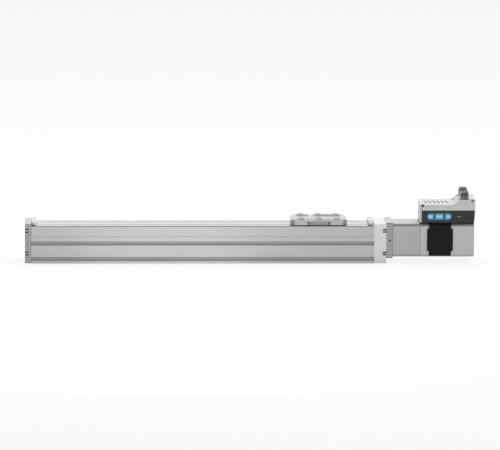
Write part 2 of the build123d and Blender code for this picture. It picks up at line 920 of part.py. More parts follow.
def ring_sector(inner, outer, angle, width):
    """Part of a ring about the screw axis, centred on an angle and as many degrees wide."""
    reach = 2 * outer
    corners = [(0, 0)]
    for edge in (angle - width / 2, angle + width / 2):
        corners.append((reach * cos(radians(edge)), reach * sin(radians(edge))))
    wedge = make_face(Polyline(*corners, close=True))
    return Pos(0, axis_z) * ((Circle(outer) - Circle(inner)) & wedge)


def coupling_hub(face, direction, bore_r, first_angle):
    """Clamping hub with three jaws, and the screw that closes it."""
    end = face - direction * hub_length
    span = sorted((face, end))
    hub = ring_x(*span, coupling_r, bore_r)
    tip = face + direction * (jaw_length - jaw_end_gap)
    for i in range(jaw_count):
        jaw = ring_sector(jaw_inner_r, coupling_r, first_angle + 4 * jaw_angle * i, jaw_angle)
        hub += along_x(jaw, *sorted((face, tip)))
    middle = (face + end) / 2
    z = axis_z + hub_screw_offset
    hub -= block(span, (-clamp_slot / 2, clamp_slot / 2), (axis_z, axis_z + coupling_r))
    half = hub_screw_length / 2
    shank = rod_y(-half, half, hub_screw_r, middle, z)
    head = rod_y(-half, -half + 2 * hub_screw_r, hub_screw_head_r, middle, z)
    hub -= shank + rod_y(-coupling_r, -half + 2 * hub_screw_r, hub_screw_head_r, middle, z)
    socket = rod_y(-half, -half + hub_screw_r, hub_screw_r * 0.8, middle, z)
    return hub, shank + head - socket


def build_coupling():
    """Two hubs and the elastic spider between their jaws."""
    near = coupling_x - jaw_length / 2
    far = coupling_x + jaw_length / 2
    screw_hub, screw_clamp = coupling_hub(near, 1, drive_journal_r, 0)
    motor_hub, motor_clamp = coupling_hub(far, -1, motor_shaft_r, 2 * jaw_angle)
    spider = ring_x(near, far, jaw_inner_r, spider_bore_r)
    for i in range(2 * jaw_count):
        leg = ring_sector(jaw_inner_r, coupling_r - slip_gap, (2 * i + 1) * jaw_angle, jaw_angle)
        spider += along_x(leg, near, far)
    save("screw_hub", screw_hub)
    save("motor_hub", motor_hub)
    save("coupling_spider", spider)
    save("hub_screws", [screw_clamp, motor_clamp])


def build_motor_shell():
    """Motor covers and the tube between them. Gives back the long screws through all three."""
    section = square_section(motor_size, motor_chamfer)
    tube_start = motor_x + front_cover_length
    tube_end = motor_end - rear_cover_length
    shaft_hole_r = motor_shaft_r + 2 * slip_gap
    front = along_x(section, motor_x, tube_start) + rod_x(motor_x - pilot_length, motor_x, pilot_r)
    front -= rod_x(motor_x - pilot_length, tube_start, shaft_hole_r)
    front -= rod_x(tube_start - motor_bearing_width, tube_start, motor_bearing_r)
    tube = along_x(section, tube_start, tube_end) - rod_x(tube_start, tube_end, stator_r)
    rear = along_x(section, tube_end, motor_end)
    rear -= rod_x(tube_end, tube_end + motor_bearing_width, motor_bearing_r)
    rear -= rod_x(tube_end, motor_end - rear_wall, encoder_space_r)
    screws = []
    for y, z in motor_screw_places():
        tip = tube_start - cover_screw_bite
        head = motor_end - small_head_height
        hole = rod_x(tip, head, small_screw_r, y, z)
        front -= hole
        front -= rod_x(motor_x, motor_x + motor_screw_bite, small_screw_r, y, z)
        tube -= hole
        rear -= hole + rod_x(head, motor_end, small_head_r, y, z)
        screws.append(small_cap_screw(motor_end, -1, tip, y, z))
    save("motor_front_cover", front)
    save("motor_tube", tube)
    save("motor_rear_cover", rear)
    return screws


def motor_bearing_seats():
    """Limits along X of the two bearings in the motor's covers."""
    front = motor_x + front_cover_length
    rear = motor_end - rear_cover_length
    return [(front - motor_bearing_width, front), (rear, rear + motor_bearing_width)]


def build_motor_inside():
    """Stator with coils, rotor, shaft and the two magnets."""
    start = motor_x + front_cover_length + coil_overhang + slip_gap
    end = start + stator_length
    iron = Circle(stator_r) - Circle(stator_r - stator_back)
    pole_middle = (stator_bore_r + stator_r - 1) / 2
    pole_reach = stator_r - 1 - stator_bore_r
    coils = []
    low = stator_bore_r + coil_wall / 2
    high = stator_r - stator_back - coil_wall / 2
    for i in range(pole_count):
        turn = Rot(0, 0, 360 * i / pole_count)
        iron += turn * Pos(pole_middle, 0) * Rectangle(pole_reach, pole_width)
        coil = block((start - coil_overhang, end + coil_overhang),
                     (low, high), (-pole_width / 2 - coil_wall, pole_width / 2 + coil_wall))
        coil -= block((start - running_gap, end + running_gap), (low, high),
                      (-pole_width / 2 - running_gap, pole_width / 2 + running_gap))
        coils.append(Pos(0, 0, axis_z) * Rot(360 * i / pole_count, 0, 0) * coil)
    iron -= Circle(stator_bore_r)
    save("stator", along_x(Pos(0, axis_z) * iron, start, end))
    save("stator_coils", coils)

    middle = (start + end) / 2
    half = rotor_length / 2
    magnet_half = magnet_length / 2
    cups = [ring_x(middle - half, middle - magnet_half, rotor_r, motor_shaft_r),
            ring_x(middle + magnet_half, middle + half, rotor_r, motor_shaft_r)]
    save("rotor_cups", cups)
    shaft_end = motor_bearing_seats()[1][1] + slip_gap
    save("motor_shaft", rod_x(motor_x - shaft_reach, shaft_end, motor_shaft_r))
    rotor_magnet = ring_x(middle - magnet_half, middle + magnet_half, magnet_r, motor_shaft_r)
    encoder_magnet = rod_x(shaft_end, shaft_end + encoder_magnet_length, encoder_magnet_r)
    save("motor_magnets", [rotor_magnet, encoder_magnet])


def strap_span():
    """Limits along X of the strap's narrow band."""
    middle = motor_x + strap_x
    return middle - strap_neck_width / 2, middle + strap_neck_width / 2


def strap_middle():
    """Room for the strap between the motor and the housing."""
    start, end = strap_span()
    half = motor_size / 2
    return block((start - slip_gap, end + slip_gap), (-half, half), (axis_z, axis_z + motor_size))


def build_strap():
    """Clip over the motor that holds the electronics: plates at the sides, hooks round the low corners."""
    outer = motor_size + 2 * strap_thickness
    band = square_section(outer, motor_chamfer + strap_thickness * 0.6)
    band -= square_section(motor_size, motor_chamfer)
    hook_end = axis_z - motor_size / 2 + strap_hook_rise
    band -= rect((-outer, outer), (hook_end - outer, hook_end))
    middle = motor_x + strap_x
    strap = along_x(band, *strap_span())
    wide = strap_plate_width / 2
    for side in (-1, 1):
        inner = side * motor_size / 2
        face = inner + side * (strap_thickness + strap_step)
        strap += block((middle - wide, middle + wide), sorted((inner, face)),
                       (strap_plate_low, strap_plate_high))
    save("motor_strap", strap)


def box_outline(inset, bottom):
    """Side view of the electronics housing: low top, concave ramp, and connector plateau."""
    left = box_left + inset
    right = box_right - inset
    low_top = box_low_top - inset
    high_top = box_high_top - inset
    ramp_start = box_right - ramp_from_end
    start = (ramp_start + inset, low_top)
    end = (ramp_start + ramp_length + inset, high_top)
    edges = Polyline((right, high_top), (right, bottom), (left, bottom), (left, low_top), start)
    edges += TangentArc(start, end, tangent=(1, 0))
    edges += Line(end, (right, high_top))
    return make_face(edges)


def box_screw_places():
    """Screws at the corners of the housing: place, and height of the top there."""
    side = box_width / 2 - box_screw_side
    left = box_left + box_screw_left
    right = box_right - box_screw_right
    return [(x, s * side, top) for x, top in ((left, box_low_top), (right, box_high_top)) for s in (-1, 1)]


def box_end_wedge():
    """What the slanted low end of the housing leaves free at the motor's end."""
    points = [(box_right, film_top), (box_right - box_taper, box_bottom), (box_right, box_bottom)]
    return along_y(make_face(Polyline(*points, close=True)), -box_width / 2, box_width / 2)


def box_vent(index):
    """One slanted slot in the low top."""
    x = box_left + vent_first + index * vent_pitch
    slot = Rot(0, 0, vent_slant) * SlotOverall(vent_length, vent_width, rotation=90)
    return extrude(Plane.XY.offset(box_low_top - box_wall) * Pos(x, 0) * slot, amount=box_wall)


def build_housing():
    """Moulded shell of the electronics, with its base, screws and small plug."""
    half = box_width / 2
    shell = along_y(box_outline(0, box_bottom), -half, half)
    upright = shell.edges().filter_by(Axis.Z).sort_by(Axis.X)
    shell = chamfer(upright[:2], box_front_edge)
    upright = shell.edges().filter_by(Axis.Z).sort_by(Axis.X)
    shell = fillet(upright[-2:], box_end_edge) - box_end_wedge()
    outer = shell
    shell -= along_y(box_outline(box_wall, box_bottom), box_wall - half, half - box_wall)
    screws = []
    for x, y, top in box_screw_places():
        seat = top - box_screw_pocket_depth
        shell += rod_z(box_bottom + base_thickness, top, box_boss_r, x, y) & outer
        tip = seat - box_screw_length
        shell -= rod_z(seat, top, box_screw_pocket_r, x, y) + rod_z(tip, seat, box_screw_r, x, y)
        head = rod_z(seat, seat + box_screw_head_height, box_screw_head_r, x, y)
        head -= hex_z(seat + box_screw_head_height / 2, top, 2 * box_screw_r * 0.8, x, y)
        screws.append(head + rod_z(tip, seat, box_screw_r, x, y))
    for i in range(vent_count):
        shell -= box_vent(i)
    shell -= film_space()
    for key in keys():
        shell -= along_y(key_shape(key, key_gap), -half, box_wall - half)
    for y in (-connector_y, connector_y):
        x = connector_x
        shell -= rod_z(box_high_top - connector_root, box_high_top, connector_bore_r, x, y)
    plug_x = box_right - plug_from_end
    plug = rod_z(box_low_top - box_wall, box_low_top + plug_rise, plug_r, plug_x, plug_y)
    shell -= plug
    save("electronics_housing", shell)
    save("housing_screws", screws)
    save("housing_plug", plug)


def build_base():
    """Base of the housing with posts for the board, the pad under it, and the main board."""
    inset = box_wall
    x = box_left + inset, box_right - inset
    half = box_width / 2 - inset
    base = block(x, (-half, half), (box_bottom, box_bottom + base_thickness))
    board_y = key_board_back(), half - board_inset
    board_x = x[0] + box_screw_left + 2, x[1] - box_screw_right - 2
    for px in (board_x[0] + post_inset, board_x[1] - post_inset):
        for py in (board_y[0] + post_inset, board_y[1] - post_inset):
            base += rod_z(box_bottom + base_thickness, board_z, post_r, px, py)
    pad_half = motor_size / 2 - motor_chamfer
    pad = block((box_left, motor_end), (-pad_half, pad_half), (axis_z + motor_size / 2, box_bottom))
    save("housing_base", base)
    save("housing_pad", pad - strap_middle())
    save("main_board", block(board_x, board_y, (board_z, board_z + board_thickness)))


def film_space():
    """Space of the dark film that lies flush in the front of the housing."""
    half = box_width / 2
    space = block((box_left + box_front_edge, box_right - box_end_edge),
                  (-half, film_thickness - half), (box_bottom, film_top))
    return space - box_end_wedge()


def light_places():
    """Places along X of the status lights."""
    return [box_right - light_from_end + i * light_spacing for i in range(light_count)]


def build_film():
    """Dark film with windows for the keys and the status lights."""
    half = box_width / 2
    film = film_space()
    for key in keys():
        film -= along_y(key_shape(key, key_gap), -half, film_thickness - half)
    lights = []
    for x in light_places():
        light = rod_y(-half, film_thickness - half, light_size / 2, x, light_z)
        film -= light
        lights.append(light)
    save("keypad_film", film)
    save("status_lights", lights)


def keys():
    """Name, left edge, width, and radius at the left and right end of each key."""
    return [("key_left", key_left_x, key_left_width, key_end_r, key_corner),
            ("key_middle", key_middle_x, key_middle_width, key_corner, key_corner),
            ("key_right", key_right_x, key_right_width, key_corner, key_end_r)]


def key_shape(key, grow):
    """Outline of a key, grown by a gap all round."""
    name, left, width, left_r, right_r = key
    height = key_high - key_low
    shape = Rectangle(width + 2 * grow, height + 2 * grow)
    shape = fillet(shape.vertices().sort_by(Axis.X)[:2], left_r)
    shape = fillet(shape.vertices().sort_by(Axis.X)[-2:], right_r)
    return Pos(box_left + left + width / 2, (key_low + key_high) / 2) * shape


def key_flange_back():
    """Place along Y of the back of the keys' flanges."""
    return box_wall - box_width / 2 + running_gap + key_flange_thickness


def key_board_front():
    """Place along Y of the front of the key board."""
    return key_flange_back() + key_travel + switch_clearance + switch_height


def key_board_back():
    """Place along Y of the back of the key board."""
    return key_board_front() + key_board_thickness


def build_keys():
    """Three sprung keys with their flanges, the switches behind them, and the key board."""
    back = key_flange_back()
    switches = []
    middle_z = (key_low + key_high) / 2
    for key in keys():
        name, left, width, left_r, right_r = key
        cap = along_y(key_shape(key, 0), -box_width / 2 - key_proud, back)
        cap += along_y(key_shape(key, key_flange), back - key_flange_thickness, back)
        save(name, cap)
        front = key_board_front()
        x = box_left + left + width / 2
        switches.append(rod_y(front - switch_height, front, switch_r, x, middle_z))
    ends = box_left + key_left_x - 1, box_left + key_right_x + key_right_width + 1
    board = block(ends, (key_board_front(), key_board_back()), (board_z - 1, key_high + 1))
    save("key_board", [board] + switches)


def build_connectors():
    """Two round connectors: threaded shells, inserts with pins, and flat seals."""
    x = connector_x
    root = box_high_top - connector_root
    seat = box_high_top + seal_thickness
    top = box_high_top + connector_height
    face = box_high_top + connector_insert_height
    shells = []
    inserts = []
    seals = []
    for y in (-connector_y, connector_y):
        shell = rod_z(root, top, connector_bore_r, x, y) + rod_z(seat, top, connector_r, x, y)
        shell += rod_z(seat, seat + connector_collar_height, connector_collar_r, x, y)
        shell -= rod_z(root, top, connector_inner_r, x, y)
        shells.append(shell)
        insert = rod_z(root, face, connector_inner_r, x, y)
        for i in range(pin_count):
            angle = radians(45 + 360 * i / pin_count)
            px = x + pin_circle_r * cos(angle)
            py = y + pin_circle_r * sin(angle)
            insert += rod_z(face, face + pin_rise, pin_r, px, py)
        inserts.append(insert)
        seal = rod_z(box_high_top, seat, connector_collar_r, x, y)
        seals.append(seal - rod_z(box_high_top, seat, connector_bore_r, x, y))
    save("connector_shells", shells)
    save("connector_inserts", inserts)
    save("connector_seals", seals)


os.makedirs("parts", exist_ok=True)
build_profile()
build_guide()
build_carriage()
build_bearings()
build_bearing_blocks()
build_screw()
build_strip()
build_caps()
save("drive_screws", build_flange() + build_coupling_housing() + build_motor_shell())
build_coupling()
build_motor_inside()
build_strap()
build_housing()
build_base()
build_film()
build_keys()
build_connectors()
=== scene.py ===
"""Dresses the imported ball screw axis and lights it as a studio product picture.

Lengths are in millimetres up to the point where a mesh is made, and the scene itself is in metres.
"""
import json
import logging
import math
from contextlib import contextmanager
from dataclasses import dataclass, replace
from enum import Enum
from typing import Callable, Iterator, Sequence

import bpy
from mathutils import Matrix, Quaternion, Vector

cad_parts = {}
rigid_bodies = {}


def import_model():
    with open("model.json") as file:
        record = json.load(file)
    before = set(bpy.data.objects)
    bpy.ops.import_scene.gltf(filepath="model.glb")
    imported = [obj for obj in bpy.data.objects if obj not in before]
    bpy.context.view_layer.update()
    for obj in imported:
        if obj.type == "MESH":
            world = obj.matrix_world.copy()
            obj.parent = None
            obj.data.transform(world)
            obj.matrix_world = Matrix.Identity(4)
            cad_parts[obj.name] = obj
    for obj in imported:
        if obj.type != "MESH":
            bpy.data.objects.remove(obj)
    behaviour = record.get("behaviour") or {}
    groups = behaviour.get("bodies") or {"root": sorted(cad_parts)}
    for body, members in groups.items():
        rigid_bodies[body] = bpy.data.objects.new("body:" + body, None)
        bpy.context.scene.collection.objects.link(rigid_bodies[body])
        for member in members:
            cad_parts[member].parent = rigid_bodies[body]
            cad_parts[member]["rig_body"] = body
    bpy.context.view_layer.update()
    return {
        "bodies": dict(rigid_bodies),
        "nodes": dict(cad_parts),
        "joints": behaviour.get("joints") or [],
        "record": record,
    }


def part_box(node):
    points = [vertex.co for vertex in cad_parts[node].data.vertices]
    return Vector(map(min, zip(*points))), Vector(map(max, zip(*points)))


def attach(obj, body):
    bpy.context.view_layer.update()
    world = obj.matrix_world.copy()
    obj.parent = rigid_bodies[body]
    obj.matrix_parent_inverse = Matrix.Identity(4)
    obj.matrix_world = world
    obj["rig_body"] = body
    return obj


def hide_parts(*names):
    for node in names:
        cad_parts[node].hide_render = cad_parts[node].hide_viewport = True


log = logging.getLogger("axis_scene")

MM = 0.001
# Vertices nearer than this are one. It is far below Blender's own 0.1 mm, which eats small edges.
WELD = 0.001 * MM

# The places of the Mix node's inputs, which has a pair for each kind of data, and of its colour.
NUMBER_A, NUMBER_B, COLOUR_A, COLOUR_B = 2, 3, 6, 7
COLOUR_OUT = 2

Pair = tuple[float, float]
Point = tuple[float, float, float]
Piece = bpy.types.Object
Tree = bpy.types.NodeTree
Socket = bpy.types.NodeSocket


def linear(hex_colour: str) -> tuple[float, float, float, float]:
    """Turns an sRGB colour into the linear values that a shader takes.

    Args:
        hex_colour: The colour as six hex digits with a leading hash.

    Returns:
        Red, green, blue and an alpha of 1, linear.
    """
    channels = []
    for start in (1, 3, 5):
        value = int(hex_colour[start:start + 2], 16) / 255
        channels.append(value / 12.92 if value <= 0.04045 else ((value + 0.055) / 1.055) ** 2.4)
    return (channels[0], channels[1], channels[2], 1.0)


def add_node(tree: Tree, kind: str, settings: dict | None = None,
             links: dict | None = None) -> bpy.types.Node:
    """Adds one shader node, sets it up and joins it to what feeds it.

    Args:
        tree: The node tree that gets the node.
        kind: The node's type name.
        settings: Values by name. A name of the node itself is set on it, and any other name or
            number is an input socket that gets the value as its default.
        links: Output sockets by the name or number of the input that each one feeds.

    Returns:
        The new node.
    """
    node = tree.nodes.new(kind)
    for name, value in (settings or {}).items():
        if isinstance(name, str) and hasattr(node, name):
            setattr(node, name, value)
        else:
            node.inputs[name].default_value = value
    for name, output in (links or {}).items():
        tree.links.new(output, node.inputs[name])
    return node


def ramp(tree: Tree, value: Socket, reach: Pair, result: Pair, kind: str = "LINEAR") -> Socket:
    """Adds a step that turns one range of a value into another.

    Args:
        tree: The node tree.
        value: The socket that it reads.
        reach: Where the value's range starts and ends.
        result: What it gives at these two ends, and beyond them.
        kind: LINEAR, or SMOOTHSTEP for soft ends.

    Returns:
        The socket of the result.
    """
    return add_node(tree, "ShaderNodeMapRange",
                    {"interpolation_type": kind, "From Min": reach[0], "From Max": reach[1],
                     "To Min": result[0], "To Max": result[1]}, {"Value": value}).outputs[0]


def calculate(tree: Tree, kind: str, operation: str, *values: Socket | float | Point) -> Socket:
    """Adds one step of arithmetic.

    Args:
        tree: The node tree.
        kind: Math for numbers, or VectorMath for vectors.
        operation: The name of the step.
        values: What it works on, each a socket or a fixed value.

    Returns:
        The socket of the result.
    """
    fixed = {place: value for place, value in enumerate(values) if not isinstance(value, Socket)}
    linked = {place: value for place, value in enumerate(values) if isinstance(value, Socket)}
    return add_node(tree, f"ShaderNode{kind}", {"operation": operation, **fixed}, linked).outputs[0]


def empty_tree(owner: bpy.types.Material | bpy.types.World) -> Tree:
    """Gives a material or the world an empty node tree and returns the tree."""
    owner.use_nodes = True
    owner.node_tree.nodes.clear()
    return owner.node_tree


class Grain(Enum):
    """How a surface was made, which decides its pattern."""

    SMOOTH = "smooth"
    ANODISED = "anodised"
    EXTRUDED = "extruded"
    BRUSHED = "brushed"
    CAST = "cast"
    MOULDED = "moulded"
    TURNED = "turned"
    LAYERED = "layered"
    WOUND = "wound"


# How often a pattern repeats along x, y and z, beside its finest direction. The others are even.
STRETCH = {
    Grain.EXTRUDED: (1 / 60, 1, 1),
    Grain.BRUSHED: (1 / 60, 1, 1),
    Grain.TURNED: (1, 1 / 60, 1 / 60),
    Grain.LAYERED: (1, 1 / 400, 1 / 400),
    Grain.WOUND: (1 / 8, 1, 1),
}
# Three octaves of noise: clouds with some finer grain in them.
NOISE = {"Scale": 1.0, "Detail": 3.0, "Roughness": 0.55}
# Nearly all values of the noise lie between these two.
NOISE_REACH = (0.25, 0.75)
# How far the roughness strays with the grain, as a share.
ROUGHNESS_SPREAD = 0.12


@dataclass(frozen=True)
class Halo:
    """A soft-edged round-cornered patch of another colour on a face that looks along y.

    Args:
        middle: The middle of the patch along x and z, in metres.
        half: Half of the patch's core along x and z, in metres.
        solid: How far beyond that core it keeps its full strength, in metres.
        fade: The distance over which it then fades out, in metres.
        colour: Its sRGB colour as hex.
    """

    middle: Pair
    half: Pair
    solid: float
    fade: float
    colour: str

    def factor(self, tree: Tree) -> Socket:
        """Adds the patch's strength.

        Args:
            tree: The material's node tree.

        Returns:
            The socket of the strength, 1 in the patch's core and 0 outside.
        """
        place = add_node(tree, "ShaderNodeTexCoord").outputs["Object"]
        flat = calculate(tree, "VectorMath", "MULTIPLY", place, (1, 0, 1))
        centred = calculate(tree, "VectorMath", "SUBTRACT", flat, (self.middle[0], 0, self.middle[1]))
        folded = calculate(tree, "VectorMath", "ABSOLUTE", centred)
        beyond = calculate(tree, "VectorMath", "SUBTRACT", folded, (self.half[0], 0, self.half[1]))
        outside = calculate(tree, "VectorMath", "MAXIMUM", beyond, (0, 0, 0))
        distance = add_node(tree, "ShaderNodeVectorMath", {"operation": "LENGTH"}, {0: outside})
        return ramp(tree, distance.outputs["Value"], (self.solid, self.solid + self.fade),
                    (1.0, 0.0), "SMOOTHSTEP")


@dataclass(frozen=True)
class Finish:
    """One real material and the way its surface was made.

    Args:
        name: The material's common name.
        colour: Its sRGB colour as hex.
        grain: How the surface was made.
        metallic: 1 for bare metal and 0 for plastic, rubber and paint.
        roughness: The roughness in the middle of its range.
        pitch: The size of the pattern's grain in millimetres.
        mottle: How far the colour strays from its middle, as a share of brightness.
        relief: The depth of the grain in millimetres.
        coat: The weight of a clear layer on top.
        gloss: The specular level, 0.5 for a smooth plastic and less for one that is etched matt.
        halo: A patch of another colour, if there is one.
    """

    name: str
    colour: str
    grain: Grain = Grain.SMOOTH
    metallic: float = 0.0
    roughness: float = 0.5
    pitch: float = 1.0
    mottle: float = 0.05
    relief: float = 0.0
    coat: float = 0.0
    gloss: float = 0.5
    halo: Halo | None = None

    def material(self) -> bpy.types.Material:
        """Builds the material once and returns it.

        Returns:
            The material, the same one each time for one finish.
        """
        made = bpy.data.materials.get(self.name)
        if made is not None:
            return made
        made = bpy.data.materials.new(self.name)
        tree = empty_tree(made)
        grain = self.add_grain(tree)
        spread = (self.roughness * (1 - ROUGHNESS_SPREAD), self.roughness * (1 + ROUGHNESS_SPREAD))
        shader = add_node(tree, "ShaderNodeBsdfPrincipled",
                          {"Metallic": self.metallic, "Coat Weight": self.coat,
                           "Specular IOR Level": self.gloss},
                          {"Base Color": self.add_colour(tree, grain),
                           "Roughness": ramp(tree, grain, NOISE_REACH, spread)})
        if self.relief:
            bump = add_node(tree, "ShaderNodeBump",
                            {"Distance": self.relief * MM, "Strength": 1.0}, {"Height": grain})
            tree.links.new(bump.outputs["Normal"], shader.inputs["Normal"])
        add_node(tree, "ShaderNodeOutputMaterial", links={"Surface": shader.outputs[0]})
        return made

    def add_grain(self, tree: Tree) -> Socket:
        """Adds the pattern of the surface.

        Args:
            tree: The material's node tree.

        Returns:
            The socket of the pattern, from 0 to 1.
        """
        place = add_node(tree, "ShaderNodeTexCoord").outputs["Object"]
        stretch = tuple(share / (self.pitch * MM) for share in STRETCH.get(self.grain, (1, 1, 1)))
        scaled = calculate(tree, "VectorMath", "MULTIPLY", place, stretch)
        return add_node(tree, "ShaderNodeTexNoise", NOISE, {"Vector": scaled}).outputs["Fac"]

    def add_colour(self, tree: Tree, grain: Socket) -> Socket:
        """Adds the colour, a little lighter and darker with the grain.

        Args:
            tree: The material's node tree.
            grain: The socket of the pattern.

        Returns:
            The socket of the colour.
        """
        level = ramp(tree, grain, NOISE_REACH, (1 - self.mottle, 1 + self.mottle))
        shade = add_node(tree, "ShaderNodeMix",
                         {"data_type": "RGBA", "blend_type": "MULTIPLY", "clamp_result": True,
                          "Factor": 1.0, COLOUR_A: linear(self.colour)}, {COLOUR_B: level})
        if self.halo is None:
            return shade.outputs[COLOUR_OUT]
        patch = add_node(tree, "ShaderNodeMix",
                         {"data_type": "RGBA", COLOUR_B: linear(self.halo.colour)},
                         {"Factor": self.halo.factor(tree), COLOUR_A: shade.outputs[COLOUR_OUT]})
        return patch.outputs[COLOUR_OUT]


# Extruded and clear anodised: satin, with faint lines along the draw.
ANODISED = Finish("clear_anodised_aluminium", "#E2E3E4", Grain.EXTRUDED, 1.0, 0.4, 0.9, 0.03, 0.002)
# The same anodised skin in the grooves, a little rougher. Its darker colour is painted shade for the
# grooves' depth.
GROOVE_PAINTED_SHADE = Finish("anodised_aluminium_painted_groove_shade", "#C6C7C9", Grain.EXTRUDED, 1.0, 0.55, 0.9, 0.03, 0.002)
# Cold-rolled spring steel: glossier than the profile and a shade darker, brushed lengthwise.
STRIP = Finish("rolled_stainless_strip", "#C6C6C5", Grain.BRUSHED, 1.0, 0.3, 0.4, 0.03, 0.001)
# Die casting under grey powder coat: matt, with a fine orange peel.
GREY_CAST = Finish("grey_powder_coated_casting", "#CDCED0", Grain.CAST, 0.0, 0.5, 0.8, 0.02, 0.01,
                   coat=0.3, gloss=0.3)
# Blasted bare die casting: metal that scatters its reflection widely.
BARE_CAST = Finish("blasted_die_casting", "#C3C4C6", Grain.CAST, 1.0, 0.34, 0.6, 0.03, 0.008)
# Die casting under near-white paint: matt and even.
LIGHT_CAST = Finish("pale_powder_coated_casting", "#E7E7E6", Grain.CAST, 0.0, 0.5, 0.8, 0.015, 0.01)
# Milled and anodised: satin metal with a very fine even grain.
MILLED = Finish("milled_aluminium", "#DDDEDF", Grain.ANODISED, 1.0, 0.38, 0.5, 0.03, 0.002)
# The slide is blasted before it is anodised: a duller white metal than the milled pieces inside.
SLIDE = Finish("blasted_anodised_aluminium", "#D9DADB", Grain.ANODISED, 1.0, 0.46, 0.5, 0.03, 0.003)
# Bead-blasted motor covers: soft, cloudy metal.
MOTOR = Finish("bead_blasted_aluminium", "#E4E5E6", Grain.ANODISED, 1.0, 0.48, 0.3, 0.03, 0.003)
# The coupling's housing is blasted with coarser grit, so it looks a shade darker.
COUPLING = Finish("grit_blasted_aluminium", "#D7D8DA", Grain.ANODISED, 1.0, 0.5, 0.5, 0.03, 0.004)
# Ground bearing steel: almost a mirror, with fine rings from the wheel.
GROUND = Finish("ground_bearing_steel", "#B4B6B8", Grain.TURNED, 1.0, 0.2, 0.3, 0.04, 0.001)
# Zinc plate: soft grey metal, a little cloudy.
SCREW = Finish("zinc_plated_steel", "#8E8F90", Grain.SMOOTH, 1.0, 0.34, 0.6, 0.06, 0.001)
# The caps' screws: dull steel, painted dark as painted shade for the pockets that their heads lie in.
SCREW_PAINTED_SHADE = Finish("steel_screw_painted_shade", "#4A4A4B", Grain.SMOOTH, 1.0, 0.4, 0.6, 0.05, 0.001)
# Those screws' flanks that face along y: pale metal that mirrors the room, a painted highlight.
SCREW_PAINTED_HIGHLIGHT = Finish("steel_screw_painted_highlight", "#DDDDDB", Grain.SMOOTH, 1.0, 0.42, 0.6, 0.04, 0.001)
# Stacked iron sheets: dull dark metal, striped from sheet to sheet.
LAMINATED = Finish("laminated_iron", "#6F6F70", Grain.LAYERED, 1.0, 0.5, 0.5, 0.18, 0.02)
# Enamelled wire: warm and glossy, its rows drawn coarser than the wire so that they show.
COPPER = Finish("enamelled_copper_wire", "#B4602E", Grain.WOUND, 1.0, 0.3, 0.5, 0.15, 0.06)
# Nickel plate on a sintered magnet: smooth and slightly yellow.
MAGNET = Finish("nickel_plated_magnet", "#9A9892", Grain.SMOOTH, 1.0, 0.25, 0.8, 0.03, 0.001)
# Cast polyurethane: strong red, satin.
SPIDER = Finish("red_polyurethane", "#B3262A", Grain.MOULDED, 0.0, 0.45, 0.5, 0.04, 0.004)
# Acetal: milky white and waxy.
WHITE_PLASTIC = Finish("white_acetal", "#E8E8E2", Grain.MOULDED, 0.0, 0.42, 0.5, 0.02, 0.003)
# Glass-filled nylon, etched matt: nearly black, and it mirrors little.
BLACK_PLASTIC = Finish("black_glass_filled_nylon", "#19191A", Grain.MOULDED, 0.0, 0.6, 0.4, 0.08, 0.01,
                       gloss=0.2)
# Plain nylon: light grey, satin.
GREY_PLASTIC = Finish("grey_nylon", "#ACADAE", Grain.MOULDED, 0.0, 0.5, 0.4, 0.03, 0.006)
# The inserts' nylon is a shade darker, which sets them off from the slide's metal.
INSERT = Finish("dark_grey_nylon", "#A2A3A4", Grain.MOULDED, 0.0, 0.5, 0.4, 0.03, 0.006)
# Nitrile rubber: black and dull.
RUBBER = Finish("black_nitrile_rubber", "#222222", Grain.MOULDED, 0.0, 0.72, 0.4, 0.08, 0.01)
# Solder mask: clear green lacquer, glossy, with large soft clouds.
BOARD = Finish("green_solder_mask", "#1F5B38", Grain.SMOOTH, 0.0, 0.35, 3.0, 0.06, 0.0, 0.3)
# Polyester film: warm and nearly black, with a fine matt tooth.
FILM = Finish("dark_polyester_film", "#323031", Grain.MOULDED, 0.0, 0.42, 0.15, 0.03, 0.001)
# Silicone keys: mid blue, satin. Keypad paints a lighter glow into their middles, painted light.
KEY_BLUE = Finish("blue_silicone_key", "#4C90B8", Grain.MOULDED, 0.0, 0.4, 0.2, 0.03, 0.001)
# Screen print on the keys: pale and flat.
KEY_PRINT = Finish("pale_screen_print", "#D3E9F2", Grain.SMOOTH, 0.0, 0.5, 0.3, 0.02, 0.0)
# Moulded light windows: pale and glassy.
LIGHT_WINDOW = Finish("clear_light_window", "#D6D6D2", Grain.SMOOTH, 0.0, 0.2, 0.5, 0.02, 0.0, 0.5)
# Nickel plate on turned brass: darker than steel, with rings from the lathe.
CONNECTOR = Finish("nickel_plated_brass", "#A4A5A7", Grain.TURNED, 1.0, 0.3, 0.3, 0.05, 0.001)

# The finish of each material slot in the record.
SLOT_FINISHES = {
    "anodised_aluminium": ANODISED,
    "strip_steel": STRIP,
    "grey_cast_aluminium": GREY_CAST,
    "light_cast_aluminium": LIGHT_CAST,
    "screw_steel": SCREW,
    "ground_steel": GROUND,
    "milled_aluminium": MILLED,
    "black_rubber": RUBBER,
    "motor_aluminium": MOTOR,
    "laminated_iron": LAMINATED,
    "copper_coil": COPPER,
    "black_plastic": BLACK_PLASTIC,
    "green_board": BOARD,
    "dark_film": FILM,
    "light_window": LIGHT_WINDOW,
    "connector_metal": CONNECTOR,
    "white_plastic": WHITE_PLASTIC,
    "red_elastomer": SPIDER,
    "magnet": MAGNET,
    "blue_key": KEY_BLUE,
}

# The pieces whose finish differs from that of their slot.
NODE_FINISHES = {
    "idle_end_cap": BARE_CAST,
    "motor_flange": BARE_CAST,
    "coupling_housing": COUPLING,
    "slide_plate": SLIDE,
    "slide_inserts": INSERT,
    # The caps' screws are painted dark as shade, and CapScrews adds painted highlights.
    "cap_screws": SCREW_PAINTED_SHADE,
    "housing_plug": GREY_PLASTIC,
}


def deselect() -> None:
    """Leaves nothing selected, so that an operator acts only on what is picked next."""
    if bpy.context.object and bpy.context.object.mode != "OBJECT":
        bpy.ops.object.mode_set(mode="OBJECT")
    bpy.ops.object.select_all(action="DESELECT")


